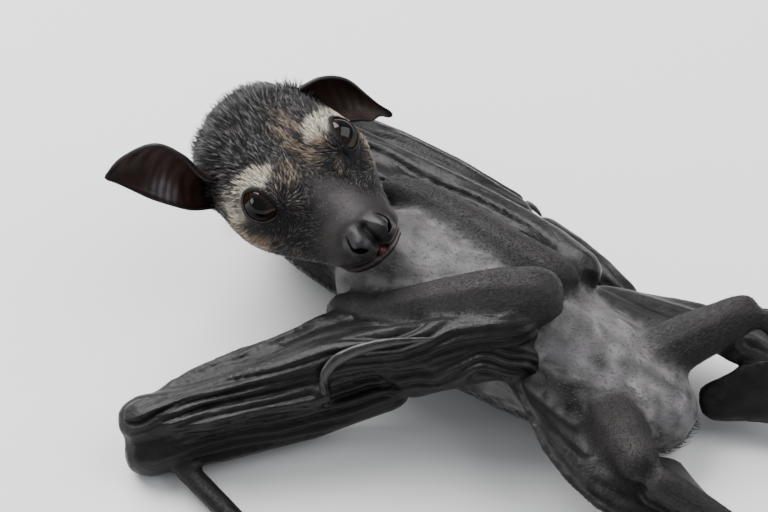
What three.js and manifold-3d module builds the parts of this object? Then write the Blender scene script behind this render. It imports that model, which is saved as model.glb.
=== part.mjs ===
// A young spectacled flying fox lying on its back, wings folded, head raised.
// Millimetres, +Z up, floor at z = 0, origin under the middle of the body's box.
// A place on the body is [along, left, up]: mm down the spine from the root of the
// neck, mm to the animal's own left, and mm over the floor.  A place on the head is
// [forward, left, up] from the middle of the braincase.
import * as THREE from 'three';
import { mergeVertices } from 'three/addons/utils/BufferGeometryUtils.js';
import Module from 'manifold-3d';

const wasm = await Module();
wasm.setup();

// ---- Driving sizes, in millimetres and degrees ----
const GAP = 0.3;                       // left between neighbours
const TRIM = 0.19;                     // faces this close to flat are joined after carving
const SPINE_BEARING = -33;             // neck to tail over the floor, from +X
const HEAD_CENTRE = [-17.1, -1.5, 31];
const HEAD_TURN = -20.2;               // from the spine towards the right shoulder
const HEAD_LIFT = 12;                  // muzzle over the horizontal
const HEAD_ROLL = 16.2;                // left side raised
const HEAD_LENGTH = 51.4;
const EYE_RADIUS = 4.6;
const EYE_PLACE = [10.4, 9.2, 3.8];    // forward, out to each side, up
const NOSTRIL_PLACE = [28.8, 2.7, -4.2];
const NOSTRIL_RADIUS = 2.8;
const EAR_WALL = 0.9;
const EAR_ARCH = 1;
const MEMBRANE = 1.3;                  // folded wing membrane, a few layers thick
const CLAW_TIP = 0.35;                 // radius left at a claw's point
const TOES = 5;
const THUMB_RADIUS = 2.1;
const FUR_DARK = { color: 0x24221f, roughness: 0.9, metalness: 0 };
const FUR_HEAD = { color: 0x34322f, roughness: 0.92, metalness: 0 };
const SKIN_DARK = { color: 0x1b191a, roughness: 0.5, metalness: 0 };
const SKIN_CHEST = { color: 0x55524f, roughness: 0.75, metalness: 0 };
const CLAW = { color: 0x2a2a2c, roughness: 0.3, metalness: 0 };
const EYE = { color: 0x1c0f08, roughness: 0.08, metalness: 0 };
const TONGUE = { color: 0x8a3038, roughness: 0.4, metalness: 0 };

// ---- Frames of the body and the head ----
const radians = THREE.MathUtils.degToRad;
const UP = new THREE.Vector3(0, 0, 1);
const SPINE = new THREE.Vector3(1, 0, 0).applyAxisAngle(UP, radians(SPINE_BEARING));
const LEFT = new THREE.Vector3().crossVectors(UP, SPINE);

function onBody([along, left, up]) {
  return new THREE.Vector3(0, 0, up).addScaledVector(SPINE, along).addScaledVector(LEFT, left);
}

function headFrame() {
  const frame = new THREE.Matrix4().makeRotationAxis(UP, radians(SPINE_BEARING + HEAD_TURN));
  frame.multiply(new THREE.Matrix4().makeRotationY(radians(-HEAD_LIFT)));
  frame.multiply(new THREE.Matrix4().makeRotationX(radians(HEAD_ROLL)));
  return frame.setPosition(onBody(HEAD_CENTRE));
}
const HEAD = headFrame();

function onHead([forward, left, up]) {
  return new THREE.Vector3(forward, left, up).applyMatrix4(HEAD);
}

function headDirection([forward, left, up]) {
  return new THREE.Vector3(forward, left, up).transformDirection(HEAD);
}

// ---- Shape tools ----
function closedGeometry(points, faces) {
  const geometry = new THREE.BufferGeometry();
  const flat = points.flatMap((point) => [point.x, point.y, point.z]);
  geometry.setAttribute('position', new THREE.Float32BufferAttribute(flat, 3));
  let volume = 0;
  for (let i = 0; i < faces.length; i += 3) {
    const [a, b, c] = [points[faces[i]], points[faces[i + 1]], points[faces[i + 2]]];
    volume += new THREE.Vector3().crossVectors(a, b).dot(c);
  }
  geometry.setIndex(volume < 0 ? faces.slice().reverse() : faces);
  return geometry;
}

function toSolid(geometry) {
  return new wasm.Manifold(new wasm.Mesh({
    numProp: 3,
    vertProperties: new Float32Array(geometry.attributes.position.array),
    triVerts: new Uint32Array(geometry.index.array),
  }));
}

function largestPiece(solid) {
  return solid.decompose().reduce((a, b) => (b.volume() > a.volume() ? b : a));
}

function fromSolid(solid) {
  const mesh = solid.getMesh();
  const geometry = new THREE.BufferGeometry();
  geometry.setAttribute('position', new THREE.BufferAttribute(mesh.vertProperties, 3));
  geometry.setIndex(new THREE.BufferAttribute(mesh.triVerts, 1));
  return geometry;
}

// A number read off rows of [place, value, value...] along a smooth line.
function smoothRows(rows, place) {
  const last = rows.length - 1;
  let i = 0;
  while (i < last - 1 && place > rows[i + 1][0]) i += 1;
  const [p, q] = [rows[i], rows[i + 1]];
  const before = rows[Math.max(i - 1, 0)];
  const after = rows[Math.min(i + 2, last)];
  const span = q[0] - p[0];
  const t = THREE.MathUtils.clamp((place - p[0]) / span, 0, 1);
  return p.slice(1).map((_, k) => {
    const slopeP = (q[k + 1] - before[k + 1]) / (q[0] - before[0]) * span;
    const slopeQ = (after[k + 1] - p[k + 1]) / (after[0] - p[0]) * span;
    const [t2, t3] = [t * t, t * t * t];
    return (2 * t3 - 3 * t2 + 1) * p[k + 1] + (t3 - 2 * t2 + t) * slopeP
      + (3 * t2 - 2 * t3) * q[k + 1] + (t3 - t2) * slopeQ;
  });
}

function skinOverRings(rings) {
  const sides = rings[0].length;
  const points = rings.flat();
  const faces = [];
  for (let i = 0; i + 1 < rings.length; i += 1) {
    for (let j = 0; j < sides; j += 1) {
      const a = i * sides + j;
      const b = i * sides + ((j + 1) % sides);
      faces.push(a, b, b + sides, a, b + sides, a + sides);
    }
  }
  for (const i of [0, rings.length - 1]) {
    const middle = new THREE.Vector3();
    rings[i].forEach((point) => middle.addScaledVector(point, 1 / sides));
    points.push(middle);
    for (let j = 0; j < sides; j += 1) {
      const a = i * sides + j;
      const b = i * sides + ((j + 1) % sides);
      faces.push(...(i === 0 ? [points.length - 1, b, a] : [points.length - 1, a, b]));
    }
  }
  return closedGeometry(points, faces);
}

// A rounded body along a path.  sizes holds rows of [share of the length, half-width,
// half-height over the path, half-height under it]; ridges are lengthwise folds.
function limb({ path, sizes, up, sides = 14, steps = 8, domes = 2, ridges = 0, fold = 0 }, grow = 0) {
  const curve = new THREE.CatmullRomCurve3(path, false, 'centripetal');
  const length = curve.getLength();
  const rows = sizes.map(([share, width, over, under = over]) => [share, width, over, under]);
  const size = (share) => {
    const [width, over, under] = smoothRows(rows, share);
    return { width, over, under };
  };
  const dome = [0, 1].map((share) => (size(share).over + size(share).under) / 2);
  const stations = [];
  for (let k = 1; k <= domes; k += 1) {
    const angle = (k / (domes + 1)) * Math.PI / 2;
    const scale = Math.sin(angle);
    const inset = (end) => dome[end] - (dome[end] + grow) * Math.cos(angle);
    stations.push([inset(0), scale], [length - inset(1), scale]);
  }
  for (let k = 0; k <= steps; k += 1) {
    stations.push([dome[0] + (length - dome[0] - dome[1]) * k / steps, 1]);
  }
  stations.sort((a, b) => a[0] - b[0]);
  const rings = stations.map(([distance, scale]) => {
    const share = THREE.MathUtils.clamp(distance / length, 0, 1);
    const tangent = curve.getTangentAt(share);
    const centre = curve.getPointAt(share).addScaledVector(tangent, distance - share * length);
    const side = new THREE.Vector3().crossVectors(tangent, up).normalize();
    const top = new THREE.Vector3().crossVectors(side, tangent);
    const { width, over, under } = size(share);
    return Array.from({ length: sides }, (_, j) => {
      const angle = (j / sides) * 2 * Math.PI;
      const swell = 1 + fold * Math.cos(ridges * angle) * Math.sin(Math.PI * share);
      const [x, y] = [Math.cos(angle), Math.sin(angle)];
      const reach = (half) => (half * swell + grow) * scale;
      return centre.clone().addScaledVector(side, x * reach(width))
        .addScaledVector(top, y * reach(y > 0 ? over : under));
    });
  });
  return skinOverRings(rings);
}

// A thin closed wall on both sides of surface(u, v), u and v from 0 to 1.
function wall({ surface, thickness, uSteps = 10, vSteps = 8 }, grow = 0) {
  const margin = grow > 0 ? 0.02 : 0;
  const at = (i, j) => surface(
    -margin + (1 + 2 * margin) * i / uSteps,
    -margin + (1 + 2 * margin) * j / vSteps,
  );
  const row = vSteps + 1;
  const points = [];
  for (const side of [1, -1]) {
    for (let i = 0; i <= uSteps; i += 1) {
      for (let j = 0; j <= vSteps; j += 1) {
        const alongU = at(Math.min(i + 0.5, uSteps), j).sub(at(Math.max(i - 0.5, 0), j));
        const alongV = at(i, Math.min(j + 0.5, vSteps)).sub(at(i, Math.max(j - 0.5, 0)));
        const normal = new THREE.Vector3().crossVectors(alongU, alongV).normalize();
        points.push(at(i, j).addScaledVector(normal, side * (thickness / 2 + grow)));
      }
    }
  }
  const sheet = row * (uSteps + 1);
  const faces = [];
  const quad = (a, b, c, d) => faces.push(a, b, c, a, c, d);
  for (let i = 0; i < uSteps; i += 1) {
    for (let j = 0; j < vSteps; j += 1) {
      const a = i * row + j;
      quad(a, a + row, a + row + 1, a + 1);
      quad(sheet + a, sheet + a + 1, sheet + a + row + 1, sheet + a + row);
    }
  }
  for (let i = 0; i < uSteps; i += 1) {
    const [a, b] = [i * row, i * row + vSteps];
    quad(a, a + sheet, a + row + sheet, a + row);
    quad(b, b + row, b + row + sheet, b + sheet);
  }
  for (let j = 0; j < vSteps; j += 1) {
    const [a, b] = [j, uSteps * row + j];
    quad(a, a + 1, a + 1 + sheet, a + sheet);
    quad(b, b + sheet, b + 1 + sheet, b + 1);
  }
  return closedGeometry(points, faces);
}

function ball(centre, radii, grow = 0, segments = 12, bands = 8) {
  const sphere = new THREE.SphereGeometry(1, segments, bands);
  sphere.deleteAttribute('normal');
  sphere.deleteAttribute('uv');
  const geometry = mergeVertices(sphere);
  geometry.scale(...radii.map((radius) => radius + grow));
  geometry.applyMatrix4(HEAD.clone().setPosition(centre));
  return geometry;
}

function line(points) {
  return new THREE.CatmullRomCurve3(points, false, 'centripetal');
}

// A membrane drawn between two lines, with pleats that run along it.
function membrane({ edge, root, pleats = 3, depth = 0.8, droop = 0, uSteps = 7, vSteps = 5 }) {
  const [outer, inner] = [line(edge), line(root)];
  const surface = (u, v) => {
    const share = THREE.MathUtils.clamp(u, 0, 1);
    const point = inner.getPoint(share).lerp(outer.getPoint(share), v);
    point.z += depth * Math.sin(pleats * 2 * Math.PI * v) * Math.sin(Math.PI * share);
    point.z -= droop * Math.sin(Math.PI * THREE.MathUtils.clamp(v, 0, 1));
    return point.addScaledVector(SPINE, (u - share) * 20);
  };
  return { surface, thickness: MEMBRANE, uSteps, vSteps };
}

// ---- The pieces.  Each entry makes its own geometry, swollen by grow where asked ----
const shapes = new Map();
const looks = new Map();
const carvers = new Map();

function piece(name, look, make, cutBy = []) {
  shapes.set(name, make);
  looks.set(name, look);
  carvers.set(name, cutBy);
}

// Head, with its eyes, nose, tongue and ears.
const HEAD_AXIS = [
  [-18.5, 0, 1],
  [-6, -0.4, 0],
  [8, -0.7, -1],
  [20, -0.3, -4.2],
  [HEAD_LENGTH - 18.5, 0, -6.6],
];
const HEAD_SIZES = [
  [0.00, 13.2, 12.0, 11.5],
  [0.25, 14.8, 12.6, 12.4],
  [0.37, 15.9, 12.2, 13.4],
  [0.48, 16.3, 11.0, 13.8],
  [0.58, 15.3, 9.2, 13.0],
  [0.67, 12.9, 7.2, 11.0],
  [0.76, 10.4, 5.6, 8.4],
  [0.86, 8.4, 5.0, 6.4],
  [1.00, 6.6, 4.4, 5.0],
];
piece('head', FUR_HEAD, (grow) => limb({
  path: HEAD_AXIS.map(onHead),
  sizes: HEAD_SIZES,
  up: headDirection([0, 0, 1]),
  sides: 18,
  steps: 10,
  domes: 2,
}, grow), ['eye_right', 'eye_left', 'nose', 'tongue']);

for (const [name, side] of [['eye_right', -1], ['eye_left', 1]]) {
  const [forward, out, up] = EYE_PLACE;
  piece(name, EYE, (grow) => ball(
    onHead([forward, side * out, up]),
    [EYE_RADIUS, EYE_RADIUS, EYE_RADIUS],
    grow,
  ));
}

function nose(grow) {
  const [forward, out, up] = NOSTRIL_PLACE;
  const bulb = (side) => toSolid(ball(
    onHead([forward, side * out, up]),
    [NOSTRIL_RADIUS + 0.9, NOSTRIL_RADIUS, NOSTRIL_RADIUS],
    grow,
    8,
    6,
  ));
  const bridge = toSolid(ball(onHead([forward - 0.6, 0, up - 0.7]), [3.2, 2.8, 2.2], grow, 8, 4));
  return fromSolid(bulb(1).add(bulb(-1)).add(bridge));
}
piece('nose', SKIN_DARK, nose, ['tongue']);
piece('tongue', TONGUE, (grow) => ball(onHead([29.9, 0.2, -6.2]), [3.2, 1.5, 0.8], grow, 6, 4));

// An ear is a bent leaf: rows of [share of its length, radius, half-angle in degrees, bend sideways].
const EARS = {
  ear_right: {
    base: [-5, -12, 1.8],
    tip: [-11.4, -28.9, 16.8],
    opening: [0.75, -0.3, 0.1],
    slant: 0,
    leaf: [
      [0.0, 3.6, 105, 0],
      [0.2, 4.2, 92, 0],
      [0.45, 6.3, 73, 3.1],
      [0.7, 7.6, 55, 4.5],
      [0.9, 6.6, 30, 2.3],
      [1.0, 4.6, 13, 0],
    ],
  },
  ear_left: {
    base: [-4, 13, 1.5],
    tip: [4, 24.2, -7.4],
    opening: [0.8, 0.3, 0.1],
    slant: 0.25,
    leaf: [
      [0.0, 2.9, 105, 0.2],
      [0.2, 4.2, 90, -1.5],
      [0.45, 4.4, 73, -2.1],
      [0.7, 3.9, 44, -0.9],
      [0.85, 3.2, 23, -0.6],
      [1.0, 3.2, 10, 0],
    ],
  },
};
for (const [name, { base, tip, opening, slant, leaf }] of Object.entries(EARS)) {
  const root = onHead(base);
  const reach = onHead(tip).sub(root);
  const across = new THREE.Vector3().crossVectors(reach, headDirection(opening)).normalize();
  const inward = new THREE.Vector3().crossVectors(across, reach).normalize();
  const surface = (u, v) => {
    const [radius, degrees, bend] = smoothRows(leaf, u);
    const angle = radians(degrees) * (2 * v - 1);
    return root.clone().addScaledVector(reach, u + slant * (1 - u) * Math.sin(angle))
      .addScaledVector(across, radius * Math.sin(angle) + bend)
      .addScaledVector(inward, radius * (1 - Math.cos(angle)) + EAR_ARCH * Math.sin(Math.PI * u));
  };
  piece(
    name,
    SKIN_DARK,
    (grow) => wall({ surface, thickness: EAR_WALL, uSteps: 7, vSteps: 6 }, grow),
    ['head'],
  );
}

// Neck and trunk.
piece('neck', FUR_DARK, (grow) => limb({
  path: [[10, 1, 11.5], [-4, 3, 9.6], [-17, 3.5, 12], [-27, 1, 21]].map(onBody),
  sizes: [[0, 10.5, 9.5, 11.6], [0.4, 10.5, 9.8, 10.4], [0.75, 10, 9.5], [1, 9.5, 9.5]],
  up: onBody([-0.4, 0, 1]),
  sides: 14,
  steps: 5,
  domes: 1,
}, grow), ['head']);

piece('trunk', SKIN_CHEST, (grow) => limb({
  path: [[-3, 0, 13], [15, 0, 12.6], [40, 0, 12.2], [62, 0, 10.5], [79, 0, 8.5]].map(onBody),
  sizes: [
    [0.00, 12.0, 10.5, 12.6],
    [0.20, 15.5, 12.0, 13.3],
    [0.50, 16.5, 12.6, 12.9],
    [0.75, 13.5, 10.5, 11.4],
    [1.00, 7.0, 6.0, 7.8],
  ],
  up: UP,
  sides: 14,
  steps: 5,
}, grow), [
  'neck', 'head', 'upper_arm_right', 'upper_arm_left', 'thigh_right', 'thigh_left', 'forearm_right', 'forearm_left',
]);

// Wings: the same pieces on both sides, each folded in its own way.
const WINGS = {
  right: {
    upperArm: [[5, -17, 14.5], [13, -16.6, 17.5], [24, -12.5, 23], [36, -6.8, 28.5], [49.5, -0.5, 31]],
    upperArmSizes: [[0, 4.6, 4.6], [0.3, 4.9, 4.9], [0.7, 6.0, 6.0], [1, 6.6, 6.6]],
    forearm: [[47, -6.5, 27.5], [34, -17, 25], [17, -30, 21.8], [3, -43.5, 15.8], [-15, -59.8, 7]],
    forearmSizes: [
      [0, 4.8, 5.4], [0.15, 4.4, 4.8], [0.5, 3.8, 4.2], [0.8, 3.8, 4.2], [0.93, 5.4, 6.0], [1, 5.4, 6.0],
    ],
    hand: [[-12.4, -63, 4.6], [4.8, -45.2, 6.1], [18, -30.6, 8], [27, -21.2, 12]],
    handSizes: [[0, 4.6, 5.2], [0.4, 5, 5.4], [0.8, 4.8, 5.6], [1, 4.2, 5]],
    fingers: [[25, -25, 13.5], [33, -21, 19], [41, -16.5, 22.5], [50, -11, 22.5]],
    fingersSizes: [[0, 4, 4.6], [0.5, 4.2, 4.6], [1, 3.2, 3.6]],
    thumb: [[-10.3, -57, 11], [-1.2, -53.7, 13], [4.2, -48.5, 15], [11, -43, 17], [17.6, -37.4, 17]],
    claw: [[17.8, -37.6, 17], [16.8, -36, 22], [18.2, -33.6, 25.4], [24.2, -28, 28.4], [32.8, -22.4, 30]],
    index: [[-3, -57.6, 4.2], [4.9, -59.9, 2.8], [15.6, -62.1, 1.8], [31, -65, 1.6], [44, -66.6, 1.6]],
    indexClaw: [[44.2, -66.6, 1.8], [47, -66.8, 2.4], [49.5, -66.9, 1.2]],
    frontEdge: [[9, -17.5, 19], [4.4, -28, 18.5], [-2, -36.4, 17], [-9.2, -44.2, 13.5], [-15, -52.5, 9.5]],
    frontRoot: [[40, -11.5, 26.5], [23, -25, 23.4], [11, -36, 19.5], [1, -45.5, 15], [-10, -55.5, 9]],
    flankEdge: [[48, -16, 21], [62, -26, 17], [78, -29, 14], [96, -24, 9]],
    flankRoot: [[40, -14, 19.5], [58, -15, 13], [72, -16, 13], [92, -17, 12]],
  },
  left: {
    upperArm: [[-3, 14.6, 15], [4, 14.6, 18], [18, 12.2, 20.5], [32, 9.2, 22.5], [47.5, 6.8, 23.5]],
    upperArmSizes: [[0, 4.4, 4.4], [0.3, 4.8, 4.8], [0.7, 5.2, 5.2], [1, 5.6, 5.6]],
    forearm: [[48, 13, 20.5], [34, 19.5, 17], [12, 24.4, 13], [-12, 27, 9.8], [-34, 27.2, 7.5]],
    forearmSizes: [
      [0, 4.6, 4.8], [0.2, 3.9, 4.2], [0.5, 3.5, 3.8], [0.8, 3.5, 3.8], [0.93, 5.0, 5.4], [1, 5.0, 5.4],
    ],
    hand: [[-34, 32, 4.4], [-12, 33.6, 4.5], [8, 33, 4.5], [24, 31, 4.8]],
    handSizes: [[0, 4.4, 4.8], [0.4, 4.4, 4.8], [0.8, 4.2, 4.6], [1, 3.8, 4.4]],
    fingers: [[24, 30.8, 5], [34, 28.6, 5.5], [44, 25.4, 6.5], [54, 21.5, 7.5]],
    fingersSizes: [[0, 3.8, 4.6], [0.5, 4, 4.6], [1, 3, 3.6]],
    thumb: [[-35, 26, 8], [-38.5, 20, 8.2], [-39, 12.6, 7.8]],
    claw: [[-39, 12.2, 7.6], [-38.5, 6.4, 9], [-35.8, 2.2, 8], [-33, 0.6, 5], [-32, 0.2, 1.4]],
    index: [[-32, 36.6, 3.4], [-14, 39.4, 1.9], [4, 39.4, 1.8], [18, 38.4, 1.7]],
    indexClaw: [[18.2, 38.4, 1.9], [21, 38, 2.4], [23.5, 37.4, 1.2]],
    frontEdge: [[2, 17, 17], [-6, 18.4, 14.5], [-14, 20, 12], [-22, 21.6, 9.8], [-30, 23.4, 8]],
    frontRoot: [[36, 17, 18], [18, 22, 14.5], [4, 25, 12], [-12, 26.6, 10], [-28, 27, 8]],
    flankEdge: [[50, 20, 12], [64, 26, 11.5], [80, 29, 11], [96, 24, 9]],
    flankRoot: [[44, 14, 16], [58, 14, 14], [72, 16, 13], [92, 17, 12]],
  },
};
const THUMB_SIZES = [[0, 2.4, 2.4], [0.3, THUMB_RADIUS, THUMB_RADIUS], [0.8, 1.9, 1.9], [1, 2.1, 2.1]];
const CLAW_SIZES = [
  [0, 1.2, 1.9], [0.3, 1.15, 1.8], [0.65, 0.9, 1.3], [0.9, 0.5, 0.7], [1, CLAW_TIP, CLAW_TIP],
];
const INDEX_SIZES = [[0, 2.4, 2.2], [0.5, 2.3, 2], [1, 1.4, 1.4]];
const SMALL_CLAW_SIZES = [[0, 0.9, 1.1], [0.6, 0.7, 0.85], [1, CLAW_TIP, CLAW_TIP]];

for (const [side, wing] of Object.entries(WINGS)) {
  const named = (part) => `${part}_${side}`;
  const bent = (places, sizes, options = {}) => (grow) => limb({
    path: places.map(onBody), sizes, up: UP, ...options,
  }, grow);
  const sheet = (options) => (grow) => wall(membrane({
    ...options, edge: options.edge.map(onBody), root: options.root.map(onBody),
  }), grow);
  piece(named('upper_arm'), FUR_DARK, bent(wing.upperArm, wing.upperArmSizes, { sides: 10, steps: 5 }), ['neck', 'head']);
  piece(named('forearm'), SKIN_DARK, bent(wing.forearm, wing.forearmSizes, { sides: 10, steps: 8 }), [
    named('upper_arm'), named('thumb'), named('thumb_claw'),
  ]);
  piece(named('hand'), SKIN_DARK, bent(wing.hand, wing.handSizes, { sides: 13, steps: 3, ridges: 3, fold: 0.08 }), [
    named('forearm'), named('fingers'), named('thumb'), 'trunk',
  ]);
  piece(named('fingers'), SKIN_DARK, bent(wing.fingers, wing.fingersSizes, { sides: 10, steps: 3 }), [
    named('forearm'), named('upper_arm'), 'trunk', named('index_finger'),
  ]);
  piece(named('thumb'), SKIN_DARK, bent(wing.thumb, THUMB_SIZES, { sides: 7, steps: 3, domes: 1 }), [named('thumb_claw'), 'neck', 'head']);
  piece(named('thumb_claw'), CLAW, bent(wing.claw, CLAW_SIZES, { sides: 6, steps: 7, domes: 1 }), ['neck']);
  piece(named('index_finger'), SKIN_DARK, bent(wing.index, INDEX_SIZES, { sides: 7, steps: 3, domes: 1 }), [
    named('index_claw'), named('forearm'), named('hand'),
  ]);
  piece(named('index_claw'), CLAW, bent(wing.indexClaw, SMALL_CLAW_SIZES, { sides: 5, steps: 2, domes: 1 }));
  piece(named('front_membrane'), SKIN_DARK, sheet({
    edge: wing.frontEdge, root: wing.frontRoot, pleats: 2, depth: 0.6,
  }), [
    named('forearm'), named('upper_arm'), 'neck', 'trunk', named('thumb'), named('hand'), 'head', named('thumb_claw'),
  ]);
  piece(named('flank_membrane'), SKIN_DARK, sheet({
    edge: wing.flankEdge, root: wing.flankRoot, pleats: 2, depth: 1.2,
  }), [
    'trunk', named('forearm'), named('upper_arm'), named('fingers'), named('thigh'), named('shank'),
    named('hand'), named('foot'),
  ]);
}

// Legs, the same on both sides; out is measured from the spine to the leg's own side.
const LEG = {
  hip: [62, 6, 11],
  knee: [79.5, 23.5, 24],
  ankle: [107, 16.5, 8],
  sole: [118, 16.5, 2.2],
};
const THIGH_SIZES = [[0, 6.6, 6.6], [0.5, 5.6, 5.6], [1, 4.0, 4.0]];
const SHANK_SIZES = [[0, 3.8, 3.8], [0.4, 3.2, 3.2], [1, 2.6, 2.6]];
const FOOT_SIZES = [[0, 3, 2.6], [0.5, 4.4, 2.6], [1, 4.6, 2.4]];
const TOE_SIZES = [[0, 1.2, 1.2], [1, 1.0, 1.0]];
const TOE_SPREAD = 2.1;                // mm between neighbouring toes at the sole
const TOE_LENGTH = 11.5;

for (const [side, sign] of [['right', -1], ['left', 1]]) {
  const named = (part) => `${part}_${side}`;
  const legPlace = ([along, out, up]) => onBody([along, sign * out, up]);
  piece(named('thigh'), FUR_DARK, (grow) => limb({
    path: [LEG.hip, LEG.knee].map(legPlace), sizes: THIGH_SIZES, up: SPINE, sides: 10, steps: 2,
  }, grow));
  piece(named('shank'), FUR_DARK, (grow) => limb({
    path: [LEG.knee, LEG.ankle].map(legPlace), sizes: SHANK_SIZES, up: UP, sides: 8, steps: 2, domes: 1,
  }, grow), [named('thigh')]);
  const toeRoot = (toe) => {
    const across = (toe - (TOES - 1) / 2) * TOE_SPREAD;
    return [LEG.sole[0] - 4.5, LEG.sole[1] + across * 0.75, 1.6];
  };
  const toeEnd = (toe) => {
    const [along, out] = toeRoot(toe);
    const across = (toe - (TOES - 1) / 2) * TOE_SPREAD;
    return [along + TOE_LENGTH - Math.abs(across) * 0.25, out + across * 0.7, 0.6];
  };
  const claws = Array.from({ length: TOES }, (_, toe) => `toe_claw_${side}_${toe + 1}`);
  piece(named('foot'), SKIN_DARK, (grow) => {
    const sole = toSolid(limb({
      path: [LEG.ankle, [111, 16.5, 4.4], LEG.sole].map(legPlace),
      sizes: FOOT_SIZES, up: UP, sides: 8, steps: 2, domes: 1,
    }, grow));
    return fromSolid(claws.reduce((foot, _, toe) => foot.add(toSolid(limb({
      path: [toeRoot(toe), toeEnd(toe)].map(legPlace), sizes: TOE_SIZES, up: UP, sides: 4, steps: 1, domes: 1,
    }, grow))), sole));
  }, [named('shank'), ...claws]);
  claws.forEach((name, toe) => {
    const [along, out, up] = toeEnd(toe);
    piece(name, CLAW, (grow) => limb({
      path: [[along - 0.6, out, up + 0.7], [along + 2.4, out, up + 1.6], [along + 5, out, up + 0.8], [along + 6.2, out, 0.5]]
        .map(legPlace),
      sizes: SMALL_CLAW_SIZES, up: UP, sides: 4, steps: 2, domes: 1,
    }, grow));
  });
  piece(named('rear_membrane'), SKIN_DARK, (grow) => wall(membrane({
    edge: [[79, 6, 6], [88, 11.5, 6.5], [97, 13.5, 7.5], [105, 14, 7.5]].map(legPlace),
    root: [[75, 10, 8.5], [86, 18.5, 17], [96, 18.8, 13], [106, 17, 8.5]].map(legPlace),
    pleats: 1, depth: 0.4, uSteps: 5, vSteps: 2,
  }), grow), ['trunk', named('thigh'), named('shank'), named('foot'), named('flank_membrane')]);
}

// ---- Carve each piece by its neighbours and by the floor, then gather them ----
function underFloor() {
  const depth = 40;
  const box = new THREE.BoxGeometry(600, 600, depth);
  box.deleteAttribute('normal');
  box.deleteAttribute('uv');
  const block = mergeVertices(box);
  block.translate(0, 0, -depth / 2);
  return toSolid(block);
}

const floor = underFloor();
const group = new THREE.Group();
for (const [name, make] of shapes) {
  let solid = toSolid(make(0)).subtract(floor);
  for (const neighbour of carvers.get(name)) {
    solid = solid.subtract(toSolid(shapes.get(neighbour)(GAP)));
  }
  const geometry = fromSolid(largestPiece(solid).simplify(TRIM));
  const mesh = new THREE.Mesh(geometry, new THREE.MeshStandardMaterial(looks.get(name)));
  mesh.name = name;
  group.add(mesh);
}

const box = new THREE.Box3().setFromObject(group);
const middle = box.getCenter(new THREE.Vector3());
group.position.set(-middle.x, -middle.y, -box.min.z);

export default group;
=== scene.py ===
"""A young spectacled flying fox lying on its back: one skin, its coat, eyes, claws and tongue.

Metres, +Z up.  Lengths in the tables below are millimetres.  A place on the body is
(along the spine, to the animal's left, up), and a place on the head is (forward, left, up).
"""
import math

import bmesh
import bpy
import numpy as np
from mathutils import Matrix, Vector, noise
from mathutils.bvhtree import BVHTree


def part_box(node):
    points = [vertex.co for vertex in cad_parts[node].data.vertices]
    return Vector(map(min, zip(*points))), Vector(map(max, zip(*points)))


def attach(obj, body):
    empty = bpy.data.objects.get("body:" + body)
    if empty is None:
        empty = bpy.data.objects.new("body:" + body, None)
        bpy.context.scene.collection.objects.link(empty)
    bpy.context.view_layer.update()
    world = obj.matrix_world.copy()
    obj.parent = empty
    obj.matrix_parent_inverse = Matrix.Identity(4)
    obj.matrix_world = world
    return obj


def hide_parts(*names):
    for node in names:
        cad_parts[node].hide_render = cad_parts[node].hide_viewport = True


bl_info = {
    "name": "Young flying fox",
    "version": (1, 0, 0),
    "blender": (4, 5, 0),
    "location": "3D View > Sidebar > Flying fox",
    "description": "A life-size young flying fox at rest, with its skin, coat, eyes and claws",
    "category": "Object",
}

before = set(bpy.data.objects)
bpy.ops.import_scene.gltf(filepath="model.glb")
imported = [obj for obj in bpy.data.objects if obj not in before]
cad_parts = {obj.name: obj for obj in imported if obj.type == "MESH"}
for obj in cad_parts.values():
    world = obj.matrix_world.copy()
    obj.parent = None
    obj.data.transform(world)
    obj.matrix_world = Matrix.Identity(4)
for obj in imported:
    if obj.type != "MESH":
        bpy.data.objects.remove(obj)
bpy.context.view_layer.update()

MM = 0.001
SPINE_BEARING = -33.0
HEAD_TURN = -20.2
HEAD_LIFT = 12.0
HEAD_ROLL = 16.2
HEAD_CENTRE = (-17.1, -1.5, 31.0)
EYE_PLACE = (10.4, 9.2, 3.8)
NOSE_MIDDLE = 0.4          # the nose sits a little to the left of the head's own middle
NOSTRIL_PLACE = (31.1, 3.9, -2.9)
EYE_RADIUS = 4.6

SIDES = ("right", "left")
CLAW_NODES = [f"{kind}_claw_{side}" for side in SIDES for kind in ("thumb", "index")]
CLAW_NODES += [f"toe_claw_{side}_{toe}" for side in SIDES for toe in range(1, 6)]
EAR_NODES = ["ear_right", "ear_left"]
EYE_NODES = ["eye_right", "eye_left"]
FLESH_NODES = sorted(set(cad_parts) - set(CLAW_NODES) - set(EAR_NODES) - set(EYE_NODES) - {"tongue"})

# ---------------------------------------------------------------- frames of head and body


def turned(axis, degrees):
    return Matrix.Rotation(math.radians(degrees), 3, axis)


BODY_TURN = turned("Z", SPINE_BEARING)
HEAD_TURNED = turned("Z", SPINE_BEARING + HEAD_TURN) @ turned("Y", -HEAD_LIFT) @ turned("X", HEAD_ROLL)


def middle(node):
    low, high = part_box(node)
    return (low + high) / 2


EYES_MIDDLE = (middle("eye_right") + middle("eye_left")) / 2
HEAD_ORIGIN = EYES_MIDDLE - HEAD_TURNED @ (Vector((EYE_PLACE[0], 0, EYE_PLACE[2])) * MM)
BODY_ORIGIN = HEAD_ORIGIN - BODY_TURN @ (Vector(HEAD_CENTRE) * MM)


def on_head(forward, left, up):
    return HEAD_ORIGIN + HEAD_TURNED @ (Vector((forward, left, up)) * MM)


def on_body(along, left, up):
    return BODY_ORIGIN + BODY_TURN @ (Vector((along, left, up)) * MM)


def head_places(points):
    return (points - np.array(HEAD_ORIGIN)) @ np.array(HEAD_TURNED) / MM


def body_places(points):
    return (points - np.array(BODY_ORIGIN)) @ np.array(BODY_TURN) / MM


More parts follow.
